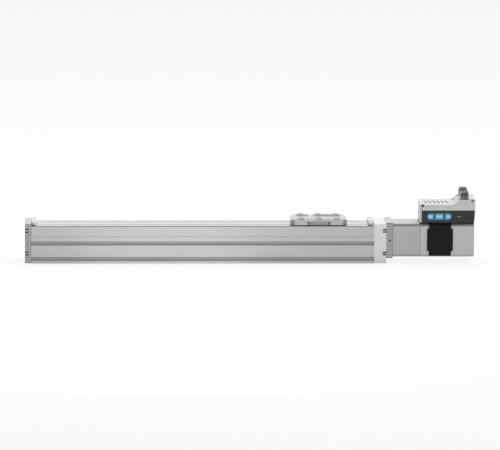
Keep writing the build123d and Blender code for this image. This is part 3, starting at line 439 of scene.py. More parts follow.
def pick(*pieces: Piece) -> None:
    """Selects some objects, of which the first is the active one."""
    deselect()
    for piece in pieces:
        piece.select_set(True)
    bpy.context.view_layer.objects.active = pieces[0]


@contextmanager
def editing(piece: Piece, kind: str = "VERT", wanted: Callable | None = None) -> Iterator[None]:
    """Opens a piece in edit mode and closes it again at the end of the block.

    Args:
        piece: The mesh object.
        kind: What is selected: VERT, EDGE or FACE.
        wanted: A test of one edge or face, to select only those that pass it. All of the piece is
            selected without a test.

    Yields:
        Nothing. The block runs in edit mode.
    """
    pick(piece)
    bpy.ops.object.mode_set(mode="EDIT")
    bpy.ops.mesh.select_mode(type=kind)
    bpy.ops.mesh.select_all(action="DESELECT" if wanted else "SELECT")
    if wanted:
        bpy.ops.object.mode_set(mode="OBJECT")
        for item in piece.data.edges if kind == "EDGE" else piece.data.polygons:
            item.select = wanted(item)
        bpy.ops.object.mode_set(mode="EDIT")
    yield
    bpy.ops.mesh.select_mode(type="VERT")
    bpy.ops.object.mode_set(mode="OBJECT")


def apply_modifier(piece: Piece, kind: str, settings: dict) -> None:
    """Adds a modifier, sets it up and applies it.

    Args:
        piece: The mesh object.
        kind: The modifier's type name.
        settings: Its values by name.
    """
    pick(piece)
    modifier = piece.modifiers.new(kind.lower(), kind)
    for name, value in settings.items():
        setattr(modifier, name, value)
    bpy.ops.object.modifier_apply(modifier=modifier.name)


def settled() -> Piece:
    """Applies the place and turn of the primitive just made, and returns it."""
    bpy.ops.object.transform_apply(location=True, rotation=True, scale=False)
    return bpy.context.object


def copied(piece: Piece, shift: Point = (0, 0, 0), name: str = "copy") -> Piece:
    """Copies a piece, with a mesh of its own, to another place.

    Args:
        piece: The mesh object to copy.
        shift: How far the copy moves, in millimetres.
        name: The copy's name.

    Returns:
        The copy.
    """
    twin = bpy.data.objects.new(name, piece.data.copy())
    bpy.context.scene.collection.objects.link(twin)
    twin.data.transform(Matrix.Translation(Vector(shift) * MM))
    return twin


def joined(name: str, pieces: Sequence[Piece]) -> Piece:
    """Joins pieces to one object.

    Args:
        name: The object's name.
        pieces: The mesh objects to join.

    Returns:
        The joined object, which is the first piece.
    """
    pick(*pieces)
    bpy.ops.object.join()
    pieces[0].name = name
    return pieces[0]


def face_outwards() -> None:
    """Turns all faces of the piece in edit mode outwards, and leaves all of it selected."""
    bpy.ops.mesh.select_all(action="SELECT")
    bpy.ops.mesh.normals_make_consistent(inside=False)


def shade(piece: Piece, angle: float) -> None:
    """Smooths the look of a piece where its faces meet at less than an angle in degrees."""
    pick(piece)
    bpy.ops.object.shade_smooth_by_angle(angle=math.radians(angle))


# Edges of CAD pieces that bend by more than this, in degrees, are broken.
SHARP_BEND = 38
# Faces of those pieces that meet at less than this, in degrees, look like one curved face.
SMOOTH_BEND = 28
# Faces that meet at less than this, in degrees, are one flat face of the CAD model.
FLAT_BEND = 0.5
# How strongly a large flat face pulls the shading of its broken edges, in percent.
FLAT_PULL = 80


@dataclass
class Assembly:
    """A group of the axis's pieces, with what the groups share.
    """

    frame: dict

    def node(self, name: str) -> Piece:
        """Returns one CAD node's object."""
        return self.frame["nodes"][name]

    def body(self, name: str) -> str:
        """Returns the name of the body that a CAD node rides on."""
        return self.node(name)["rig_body"]

    def slot_of(self, name: str) -> str:
        """Returns a CAD node's material slot in the record."""
        return next(row["material_slot"] for row in self.frame["record"]["subparts"]
                    if row["node"] == name)

    def finish_of(self, name: str) -> Finish:
        """Returns the finish of a CAD node: its own, or else its slot's."""
        return NODE_FINISHES.get(name, SLOT_FINISHES[self.slot_of(name)])

    def paint(self, piece: Piece, finish: Finish) -> None:
        """Gives a piece one material all over."""
        piece.data.materials.clear()
        piece.data.materials.append(finish.material())

    def paint_some(self, piece: Piece, finish: Finish,
                   wanted: Callable[[bpy.types.MeshPolygon], bool]) -> None:
        """Gives the faces that pass a test a material of their own.

        Args:
            piece: The mesh object, which has one material so far.
            finish: The finish of those faces.
            wanted: The test of one face.
        """
        piece.data.materials.append(finish.material())
        for face in piece.data.polygons:
            if wanted(face):
                face.material_index = 1

    def place(self, piece: Piece, *nodes: str) -> Piece:
        """Lets a finished piece stand for CAD nodes: puts it on their body and hides them.

        Args:
            piece: The finished mesh object.
            nodes: The CAD nodes that it stands for, all on one body.

        Returns:
            The same piece.
        """
        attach(piece, self.body(nodes[0]))
        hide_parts(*nodes)
        log.info("%s stands for %s with %d faces", piece.name, ", ".join(nodes), len(piece.data.polygons))
        return piece

    def copy_of(self, node: str, name: str) -> Piece:
        """Copies a CAD node's mesh to a new object, without the CAD model's own shading."""
        piece = copied(self.node(node), name=name)
        pick(piece)
        bpy.ops.mesh.customdata_custom_splitnormals_clear()
        return piece

    def rounded(self, name: str, edge: float, segments: int = 2) -> Piece:
        """Makes a finer copy of a CAD node, with its sharp edges broken as a machinist breaks them.

        Args:
            name: The CAD node.
            edge: The width of the broken edge in millimetres.
            segments: The number of facets across that edge.

        Returns:
            The copy, which stands for the node.
        """
        piece = self.copy_of(name, f"{name}_finished")
        with editing(piece):
            bpy.ops.mesh.remove_doubles(threshold=WELD)
            bpy.ops.mesh.dissolve_limited(angle_limit=math.radians(FLAT_BEND))
        apply_modifier(piece, "BEVEL", {
            "width": edge * MM, "segments": segments, "limit_method": "ANGLE",
            "angle_limit": math.radians(SHARP_BEND), "use_clamp_overlap": False,
            "harden_normals": False})
        shade(piece, SMOOTH_BEND)
        apply_modifier(piece, "WEIGHTED_NORMAL", {"keep_sharp": True, "weight": FLAT_PULL})
        self.paint(piece, self.finish_of(name))
        return self.place(piece, name)


@dataclass
class CadFinishes(Assembly):
    """The finish of every CAD node that keeps its own mesh."""

    def dress(self) -> None:
        """Gives each CAD node the finish of its slot."""
        for name in self.frame["nodes"]:
            self.paint(self.node(name), self.finish_of(name))


@dataclass
class BrokenEdges(Assembly):
    """The castings, milled pieces and mouldings, whose sharp edges are broken.

    Args:
        fine: The width of a small or thin piece's broken edges, in millimetres.
        plain: The width of a milled or cast piece's.
        wide: The width of the coupling housing's, which has a broad chamfer.
    """

    fine: float = 0.12
    plain: float = 0.25
    wide: float = 0.7

    def build(self) -> None:
        """Makes a finer copy of each piece whose edges show."""
        widths = {
            "slide_inserts": self.fine,
            "saddle": self.plain,
            "idle_end_cap": self.plain,
            "drive_end_cap": self.plain,
            "strip_clamps": self.fine,
            "strip_clamp_screws": self.fine,
            "housing_screws": self.fine,
            "drive_screws": self.fine,
            "motor_flange": self.plain,
            "coupling_housing": self.wide,
            "motor_front_cover": self.plain,
            "motor_tube": self.fine,
            "motor_rear_cover": self.plain,
            "electronics_housing": self.fine,
            "motor_strap": self.plain,
        }
        for name, edge in widths.items():
            self.rounded(name, edge)


@dataclass
class GroovedProfile(Assembly):
    """The extruded profile, whose grooves are rougher than its faces and painted darker as shade.

    Args:
        edge: The radius that the die leaves on its corners, in millimetres.
        groove_depth: How deep the grooves reach behind the side faces.
        groove_heights: The middles of the grooves above the underside.
        groove_half: Half of the grooves' inner height.
    """

    edge: float = 0.12
    groove_depth: float = 3.6
    groove_heights: Pair = (25.8, 6.0)
    groove_half: float = 3.8

    def build(self) -> None:
        """Makes the profile and gives the faces in its grooves a rougher finish with painted shade."""
        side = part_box("profile")[1].y / MM
        # The groove faces get a darker colour, painted shade.
        self.paint_some(self.rounded("profile", self.edge), GROOVE_PAINTED_SHADE,
                        lambda face: self.in_groove(face.center / MM, side))

    def in_groove(self, middle: Vector, side: float) -> bool:
        """Tells whether a face, whose middle is given in millimetres, lies in a groove."""
        inside = side - self.groove_depth - self.edge < abs(middle.y) < side - self.edge
        return inside and any(abs(middle.z - height) < self.groove_half for height in self.groove_heights)


@dataclass
class CapScrews(Assembly):
    """The end caps' screws, whose heads lie in side pockets: painted dark as shade, with a painted
    highlight on their flanks that face along y.

    Args:
        edge: The width of their broken edges in millimetres.
        highlight_facing: How straight a face must look sideways to get the painted highlight.
    """

    edge: float = 0.12
    highlight_facing: float = 0.96

    def build(self) -> None:
        """Makes the screws and paints a highlight on their flanks that face along y."""
        # The flanks that face along y get a painted highlight.
        self.paint_some(self.rounded("cap_screws", self.edge), SCREW_PAINTED_HIGHLIGHT,
                        lambda face: abs(face.normal.y) > self.highlight_facing)


@dataclass
class SlidePlate(Assembly):
    """The slide's plate, with a black layer on its underside that hangs over the strip: painted shadow
    for the gap under the plate.

    Args:
        edge: The width of its broken edges in millimetres.
        shadow_layer: The thickness of that black layer of painted shadow.
        level: How far a face may lie above the underside and still be part of it.
        down: The z of a face's normal below which the face looks down.
    """

    edge: float = 0.25
    shadow_layer: float = 0.6
    level: float = 0.05
    down: float = -0.9

    def build(self) -> None:
        """Makes the plate and pulls a black layer of painted shadow down from its flat underside."""
        plate = self.rounded("slide_plate", self.edge)
        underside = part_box("slide_plate")[0].z
        with editing(plate, "FACE", lambda face: face.normal.z < self.down
                     and face.center.z < underside + self.level * MM):
            bpy.ops.mesh.extrude_region_move(
                TRANSFORM_OT_translate={"value": (0, 0, -self.shadow_layer * MM)})
        # The black under the plate is painted shadow for the dark gap over the strip.
        self.paint_some(plate, BLACK_PLASTIC,
                        lambda face: face.center.z < underside - self.level * MM)


@dataclass
class BallScrew(Assembly):
    """The ball screw, with the helical track that its balls run in.

    Args:
        axis: The height of its axis in millimetres.
        lead: The rise of one turn, the same as the slide's travel per turn.
        track_width: The width of the track.
        track_depth: Its depth.
        track_profile: Points down the track's wall to its bottom, as shares of half its width out
            from the middle and of its depth.
        trim: How far inside its planes the tracked part is cut, so that no vertex lies on a cut.
        journal_trim: How far outside those planes the journals are cut.
        full: The share of the largest radius that still counts as the tracked part.
        steps: The number of facets round one turn.
        smooth: The largest bend that looks curved, in degrees.
    """

    axis: float = 29.2
    lead: float = 10.0
    track_width: float = 2.4
    track_depth: float = 0.75
    track_profile: tuple[Pair, ...] = ((1.0, 0.0), (0.8, 0.6), (0.4, 0.92))
    trim: float = 0.013
    journal_trim: float = 0.01
    full: float = 0.99
    steps: int = 32
    smooth: float = 32.0

    def build(self) -> None:
        """Winds the tracked part, and keeps the CAD model's journals at both ends."""
        source = self.node("ball_screw").data
        off_axis = [(math.hypot(v.co.y, v.co.z - self.axis * MM), v.co.x) for v in source.vertices]
        radius = max(reach for reach, _ in off_axis)
        ends = [along for reach, along in off_axis if reach > radius * self.full]
        start, end = min(ends), max(ends)
        screw = joined("ball_screw_with_track", [self.build_track(start, end, radius),
                                                 self.cut_copy(start, -1), self.cut_copy(end, 1)])
        shade(screw, self.smooth)
        self.paint(screw, self.finish_of("ball_screw"))
        self.place(screw, "ball_screw")

    def cut(self, where: float, side: int) -> None:
        """Cuts the piece in edit mode at a plane and closes the cut.

        Args:
            where: The plane's place along x, in metres.
            side: 1 to keep what lies beyond it towards +x, -1 towards -x.
        """
        bpy.ops.mesh.bisect(plane_co=(where, 0, 0), plane_no=(side, 0, 0), clear_inner=True,
                            use_fill=True, threshold=WELD)

    def cut_copy(self, where: float, side: int) -> Piece:
        """Copies the CAD screw and keeps one journal.

        Args:
            where: The plane where it starts, along x in metres.
            side: 1 for the journal towards +x, -1 for the one towards -x.

        Returns:
            The closed journal.
        """
        piece = self.copy_of("ball_screw", "journal")
        with editing(piece):
            bpy.ops.mesh.remove_doubles(threshold=WELD)
            self.cut(where + side * self.journal_trim * MM, side)
        return piece

    def build_track(self, start: float, end: float, radius: float) -> Piece:
        """Winds the shaft between two planes with its track.

        Args:
            start: The lower plane along x, in metres.
            end: The upper plane along x, in metres.
            radius: The shaft's radius, in metres.

        Returns:
            The closed shaft.
        """
        lead = self.lead * MM
        half = self.track_width / 2 * MM
        depth = self.track_depth * MM
        falling = [(lead / 2 - out * half, down * depth) for out, down in self.track_profile]
        rising = [(lead - along, sunk) for along, sunk in reversed(falling)]
        outline = [(0, 0), *falling, (lead / 2, depth), *rising, (lead, 0)]
        deselect()
        bpy.ops.mesh.primitive_circle_add(vertices=len(outline), radius=radius)
        shaft = bpy.context.object
        for vertex, (along, sunk) in zip(shaft.data.vertices, outline):
            vertex.co = (start - lead + along, 0, radius - sunk)
        with editing(shaft, "EDGE", lambda edge: {0, len(outline) - 1} == set(edge.vertices)):
            bpy.ops.mesh.delete(type="EDGE_FACE")
        turns = math.ceil((end - start) / lead) + 2
        apply_modifier(shaft, "SCREW", {
            "axis": "X", "angle": turns * math.tau, "screw_offset": turns * lead,
            "steps": turns * self.steps, "render_steps": turns * self.steps})
        with editing(shaft):
            for where, side in ((start + self.trim * MM, 1), (end - self.trim * MM, -1)):
                bpy.ops.mesh.select_all(action="SELECT")
                bpy.ops.mesh.remove_doubles(threshold=2 * WELD)
                self.cut(where, side)
            face_outwards()
            bpy.ops.transform.translate(value=(0, 0, self.axis * MM))
        return shaft


class KeyMark(Enum):
    """A generic symbol on a key: its corners, radius, turn in degrees and where its copies stand."""

    ARROW_LEFT = (3, 1.3, -90.0, (0.0,))
    DOTS = (20, 0.8, 0.0, (-2.5, 0.0, 2.5))
    ARROW_RIGHT = (3, 1.3, 90.0, (0.0,))


KEY_MARKS = {
    "key_left": KeyMark.ARROW_LEFT,
    "key_middle": KeyMark.DOTS,
    "key_right": KeyMark.ARROW_RIGHT,
}


@dataclass
class Keypad(Assembly):
    """The printed film and the three keys of the electronics housing.

    Args:
        border: How far the blue print reaches round the keys, in millimetres.
        border_fade: The share of the border over which it fades out.
        border_colour: Its sRGB colour as hex.
        painted_glow_colour: The colour of the painted light in the middle of each key.
        painted_glow_reach: The painted light's shape, as shares of the key's half height: how far its
            core stays off the ends, half its core's height, how far it is even, and how far it fades.
        film_edge: The width of the film's broken edges.
        edge: The radius on the keys' edges.
        flange: The width of the keys' rim, which lies behind the film.
        mark_thickness: The thickness of the keys' symbols, half of it in the key. A real print is
            thinner than this, and as thin as that it would not show.
        mark_edge: The width of the symbols' broken edges.
    """

    border: float = 1.0
    border_fade: float = 0.4
    border_colour: str = "#2E6788"
    painted_glow_colour: str = "#86CDEE"
    painted_glow_reach: tuple[float, float, float, float] = (0.75, 0.1, 0.3, 0.55)
    film_edge: float = 0.05
    edge: float = 0.3
    flange: float = 0.6
    mark_thickness: float = 0.14
    mark_edge: float = 0.03

    def build(self) -> None:
        """Prints the dark blue border round the keys and paints a lighter glow, painted light, into each
        key's middle.
        """
        flange = self.flange * MM
        shown = {name: (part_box(name)[0].x + flange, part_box(name)[1].x - flange) for name in KEY_MARKS}
        left, right = shown["key_left"][0], shown["key_right"][1]
        low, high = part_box("key_middle")
        height = (low.z + high.z) / 2
        half = (high.z - low.z) / 2 - flange
        border = Halo(((left + right) / 2, height), ((right - left) / 2 - half, 0.0),
                      half + self.border * (1 - self.border_fade) * MM,
                      self.border * self.border_fade * MM, self.border_colour)
        self.paint(self.rounded("keypad_film", self.film_edge, 1),
                   replace(FILM, name="printed_film", halo=border))
        inset, core, even, fade = (share * half for share in self.painted_glow_reach)
        for name, (start, end) in shown.items():
            middle = (start + end) / 2
            # Each key's lighter middle is painted light: a glow with no lamp behind it.
            glow = Halo((middle, height), ((end - start) / 2 - inset, core), even, fade,
                        self.painted_glow_colour)
            key = self.rounded(name, self.edge)
            self.paint(key, replace(KEY_BLUE, name=f"blue_silicone_{name}", halo=glow))
            self.add_marks(key, KEY_MARKS[name], (middle / MM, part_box(name)[0].y / MM, height / MM))

    def add_marks(self, key: Piece, mark: KeyMark, middle: Point) -> None:
        """Prints a generic symbol on a key and joins it to the key.

        Args:
            key: The key.
            mark: The kind of symbol.
            middle: The middle of the key's face.
        """
        corners, radius, turn, shifts = mark.value
        place = Vector(middle) + Vector((shifts[0], 0, 0))
        deselect()
        bpy.ops.mesh.primitive_cylinder_add(
            vertices=corners, radius=radius * MM, depth=self.mark_thickness * MM,
            location=place * MM, rotation=(math.pi / 2, math.radians(turn), 0))
        first = settled()
        with editing(first):
            bpy.ops.mesh.bevel(offset=self.mark_edge * MM, segments=1, affect="EDGES")
        self.paint(first, KEY_PRINT)
        others = [copied(first, (shift - shifts[0], 0, 0)) for shift in shifts[1:]]
        joined(key.name, [key, first, *others])


class PartShape(Enum):
    """The two shapes of component."""

    BOXED = "boxed"
    ROUND = "round"


@dataclass(frozen=True)
class Part:
    """One kind of component on the circuit board.

    Args:
        shape: Its shape.
        finish: Its finish.
        size: Its length, width and height in millimetres. A round one has its diameter twice.
        places: The middles of its copies along x and y.
        edge: The width of its broken edges.
        leads: How many leads it has at each side.
    """

    shape: PartShape
    finish: Finish
    size: Point
    places: tuple[Pair, ...]
    edge: float = 0.0
    leads: int = 0


@dataclass
class BoardParts(Assembly):
    """The components on the circuit board in the electronics housing.

    Args:
        kinds: The integrated circuits, the round capacitors and the resistors.
        lead: The length, width and height of one lead.
        lead_edge: The width of the leads' broken edges.
        lead_tuck: How far a lead reaches into its package.
        can_rim: The steps of a can's top from its flank inwards, each its width and its rise.
        can_steps: The number of facets round a can.
        can_smooth: The largest bend of a can that looks curved, in degrees.
    """

    kinds: tuple[Part, ...] = (
        Part(PartShape.BOXED, BLACK_PLASTIC, (10.0, 10.0, 1.4), ((299.0, 3.0),), 0.15, 6),
        Part(PartShape.BOXED, BLACK_PLASTIC, (6.0, 5.0, 1.1),
             ((315.0, 12.0), (315.0, 3.5), (315.0, -5.0)), 0.15, 6),
        Part(PartShape.ROUND, MILLED, (8.0, 8.0, 8.5), ((326.5, 9.0), (326.5, -5.0))),
        Part(PartShape.ROUND, MILLED, (5.0, 5.0, 5.5), ((287.0, 13.0),)),
        Part(PartShape.BOXED, SCREW, (2.0, 1.25, 0.7), tuple(
            (290.0 + 3.4 * column, y) for column in range(6) for y in (-11.0, -7.5)), 0.1))
    lead: Point = (0.35, 0.9, 0.3)
    lead_edge: float = 0.05
    lead_tuck: float = 0.1
    can_rim: tuple[Pair, ...] = ((0.35, 0.15), (0.3, -0.25))
    can_steps: int = 32
    can_smooth: float = 30.0

    def build(self) -> None:
        """Sets all components on the board and joins them to one piece."""
        parts = []
        for kind in self.kinds:
            x, y = kind.places[0]
            first = self.build_can(kind) if kind.shape is PartShape.ROUND else self.build_boxed(kind)
            parts.append(first)
            parts += [copied(first, (along - x, across - y, 0)) for along, across in kind.places[1:]]
        components = joined("board_components", parts)
        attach(components, self.body("main_board"))
        log.info("%s with %d faces", components.name, len(components.data.polygons))

    def on_board(self, place: Pair, height: float) -> Vector:
        """Returns the middle, in metres, of a part of some height that stands on the board."""
        return Vector((*place, height / 2)) * MM + Vector((0, 0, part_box("main_board")[1].z))

    def build_boxed(self, kind: Part) -> Piece:
        """Builds one box-shaped component, with a row of leads at both sides if it has any.

        Args:
            kind: The kind of component.

        Returns:
            The component at the kind's first place.
        """
        body = self.build_block(kind.places[0], kind.size, kind.edge, kind.finish)
        if not kind.leads:
            return body
        x, y = kind.places[0]
        length, width, _ = kind.size
        pitch = length / (kind.leads + 1)
        reach = (width + self.lead[1]) / 2 - self.lead_tuck
        first = self.build_block((x - length / 2 + pitch, y - reach), self.lead, self.lead_edge, MAGNET)
        others = [copied(first, (pitch * number, across, 0))
                  for number in range(kind.leads) for across in (0.0, 2 * reach) if number or across]
        return joined("package", [body, first, *others])

    def build_block(self, place: Pair, size: Point, edge: float, finish: Finish) -> Piece:
        """Sets a block with broken edges on the board.

        Args:
            place: Its middle along x and y.
            size: Its length, width and height.
            edge: The width of its broken edges.
            finish: Its finish.

        Returns:
            The block.
        """
        deselect()
        bpy.ops.mesh.primitive_cube_add(size=MM)
        block = bpy.context.object
        with editing(block):
            bpy.ops.transform.resize(value=size, center_override=(0, 0, 0))
            bpy.ops.mesh.bevel(offset=edge * MM, segments=1, affect="EDGES")
            bpy.ops.mesh.select_all(action="SELECT")
            bpy.ops.transform.translate(value=self.on_board(place, size[2]))
        self.paint(block, finish)
        return block

    def build_can(self, kind: Part) -> Piece:
        """Builds one round capacitor, with a raised rim and a sunk top.

        Args:
            kind: The kind of component.

        Returns:
            The component at the kind's first place.
        """
        deselect()
        bpy.ops.mesh.primitive_cylinder_add(
            vertices=self.can_steps, radius=kind.size[0] / 2 * MM, depth=kind.size[2] * MM,
            location=self.on_board(kind.places[0], kind.size[2]))
        can = settled()
        top = max(face.center.z for face in can.data.polygons)
        with editing(can, "FACE", lambda face: face.center.z > top - WELD):
            for width, rise in self.can_rim:
                bpy.ops.mesh.inset(thickness=width * MM, depth=rise * MM)
        shade(can, self.can_smooth)
        self.paint(can, kind.finish)
        return can


@dataclass
class RoundConnectors(Assembly):
    """The two round connectors, with a real thread on each.

    Args:
        pitch: The thread's pitch in millimetres, as on M12.
        depth: The thread's depth.
        proud: How far the collar stands out beyond the thread.
        collar: The height of the smooth collar under the thread.
        run_out: The smooth length above the thread.
        ridge: The width of the thread's ridge with its clearance, as a share of the pitch.
        flank: Half of the ridge's own width, as a share of the pitch.
        rings: The shell's outline, ring by ring: a level and how far above it, then a radius and
            how far beyond it.
        steps: The number of facets round one turn.
        smooth: The largest bend that looks curved, in degrees.
    """

    pitch: float = 1.0
    depth: float = 0.55
    proud: float = 0.2
    collar: float = 1.7
    run_out: float = 0.5
    ridge: float = 0.9
    flank: float = 0.44
    rings: tuple[tuple[str, float, str, float], ...] = (
        ("root", 0.0, "core", -0.05), ("seat", 0.0, "core", -0.05),
        ("seat", 0.0, "collar", -0.1), ("seat", 0.15, "collar", 0.0),
        ("shoulder", -0.5, "collar", 0.0), ("shoulder", -0.35, "thread", -0.1),
        ("shoulder", -0.1, "core", 0.0), ("top", -0.5, "core", 0.0), ("top", -0.1, "core", 0.0),
        ("top", 0.0, "core", -0.15), ("top", 0.0, "core", -0.75),
        ("top", -0.15, "core", -0.85), ("root", 0.0, "core", -0.85))
    steps: int = 40
    smooth: float = 40.0

    def build(self) -> None:
        """Rebuilds both shells, since the CAD ones are plain."""
        low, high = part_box("connector_shells")
        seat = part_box("connector_seals")[1].z / MM
        collar = (high.x - low.x) / 2 / MM
        across = (high.y - low.y) / 2 / MM - collar
        radii = {"collar": collar, "thread": collar - self.proud,
                 "core": collar - self.proud - self.depth}
        levels = {"root": low.z / MM, "seat": seat, "shoulder": seat + self.collar, "top": high.z / MM}
        first = joined("connector", [self.build_shell(levels, radii), self.build_thread(levels, radii)])
        with editing(first):
            bpy.ops.transform.translate(value=((low.x + high.x) / 2, -across * MM, 0))
        both = joined("threaded_connector_shells", [first, copied(first, (0, 2 * across, 0))])
        shade(both, self.smooth)
        self.paint(both, CONNECTOR)
        self.place(both, "connector_shells")

    def build_shell(self, levels: dict[str, float], radii: dict[str, float]) -> Piece:
        """Turns one hollow shell from a circle.

        Args:
            levels: The heights that its rings are measured from.
            radii: The radii that they are measured from.

        Returns:
            The shell, round the z axis.
        """
        outline = [(levels[level] + rise, radii[circle] + out)
                   for level, rise, circle, out in self.rings]
        before = outline[0]
        deselect()
        bpy.ops.mesh.primitive_circle_add(vertices=self.steps, radius=before[1] * MM,
                                          location=(0, 0, before[0] * MM))
        shell = settled()
        with editing(shell):
            for ring in outline[1:]:
                bpy.ops.mesh.extrude_edges_move(
                    TRANSFORM_OT_translate={"value": (0, 0, (ring[0] - before[0]) * MM)})
                share = ring[1] / before[1]
                bpy.ops.transform.resize(value=(share, share, 1), center_override=(0, 0, 0))
                before = ring
            bpy.ops.mesh.select_all(action="SELECT")
            bpy.ops.mesh.remove_doubles(threshold=WELD)
            bpy.ops.mesh.select_all(action="DESELECT")
            bpy.ops.mesh.select_non_manifold()
            bpy.ops.mesh.bridge_edge_loops()
            face_outwards()
        return shell

    def build_thread(self, levels: dict[str, float], radii: dict[str, float]) -> Piece:
        """Winds one thread ridge.

        Args:
            levels: The heights, of which the thread starts at the shoulder.
            radii: The radii, of which it reaches from the core to the thread's.

        Returns:
            The ridge round the z axis, closed at its ends.
        """
        start = levels["shoulder"] + self.ridge / 2 * self.pitch
        turns = (levels["top"] - self.run_out - levels["shoulder"]) / self.pitch - self.ridge
        profile = ((radii["thread"], 0), (radii["core"], -self.flank), (radii["core"], self.flank))
        deselect()
        bpy.ops.mesh.primitive_circle_add(vertices=len(profile), radius=self.depth * MM)
        ridge = bpy.context.object
        for vertex, (out, up) in zip(ridge.data.vertices, profile):
            vertex.co = (out * MM, 0, (start + up * self.pitch) * MM)
        apply_modifier(ridge, "SCREW", {
            "axis": "Z", "angle": turns * math.tau, "screw_offset": turns * self.pitch * MM,
            "steps": int(turns * self.steps), "render_steps": int(turns * self.steps)})
        with editing(ridge, "EDGE"):
            bpy.ops.mesh.select_all(action="DESELECT")
            bpy.ops.mesh.select_non_manifold()
            bpy.ops.mesh.edge_face_add()
            face_outwards()
        return ridge


@dataclass(frozen=True)
class SoftBox:
    """One lamp with a rectangular face.

    Args:
        name: The lamp's name.
        place: Its middle, in metres.
        aim: The point that it faces, in metres.
        size: Its width and height, in metres.
        watts: Its power.
        mirrored: Whether glossy surfaces mirror it.
    """

    name: str
    place: Point
    aim: Point
    size: Pair
    watts: float
    mirrored: bool

    def hang(self) -> None:
        """Puts the lamp into the scene."""
        light = bpy.data.lights.new(self.name, "AREA")
        light.shape = "RECTANGLE"
        light.size, light.size_y = self.size
        light.energy = self.watts
        lamp = bpy.data.objects.new(self.name, light)
        lamp.location = self.place
        lamp.rotation_mode = "QUATERNION"
        lamp.rotation_quaternion = (Vector(self.aim) - Vector(self.place)).to_track_quat("-Z", "Y")
        lamp.visible_glossy = self.mirrored
        bpy.context.scene.collection.objects.link(lamp)


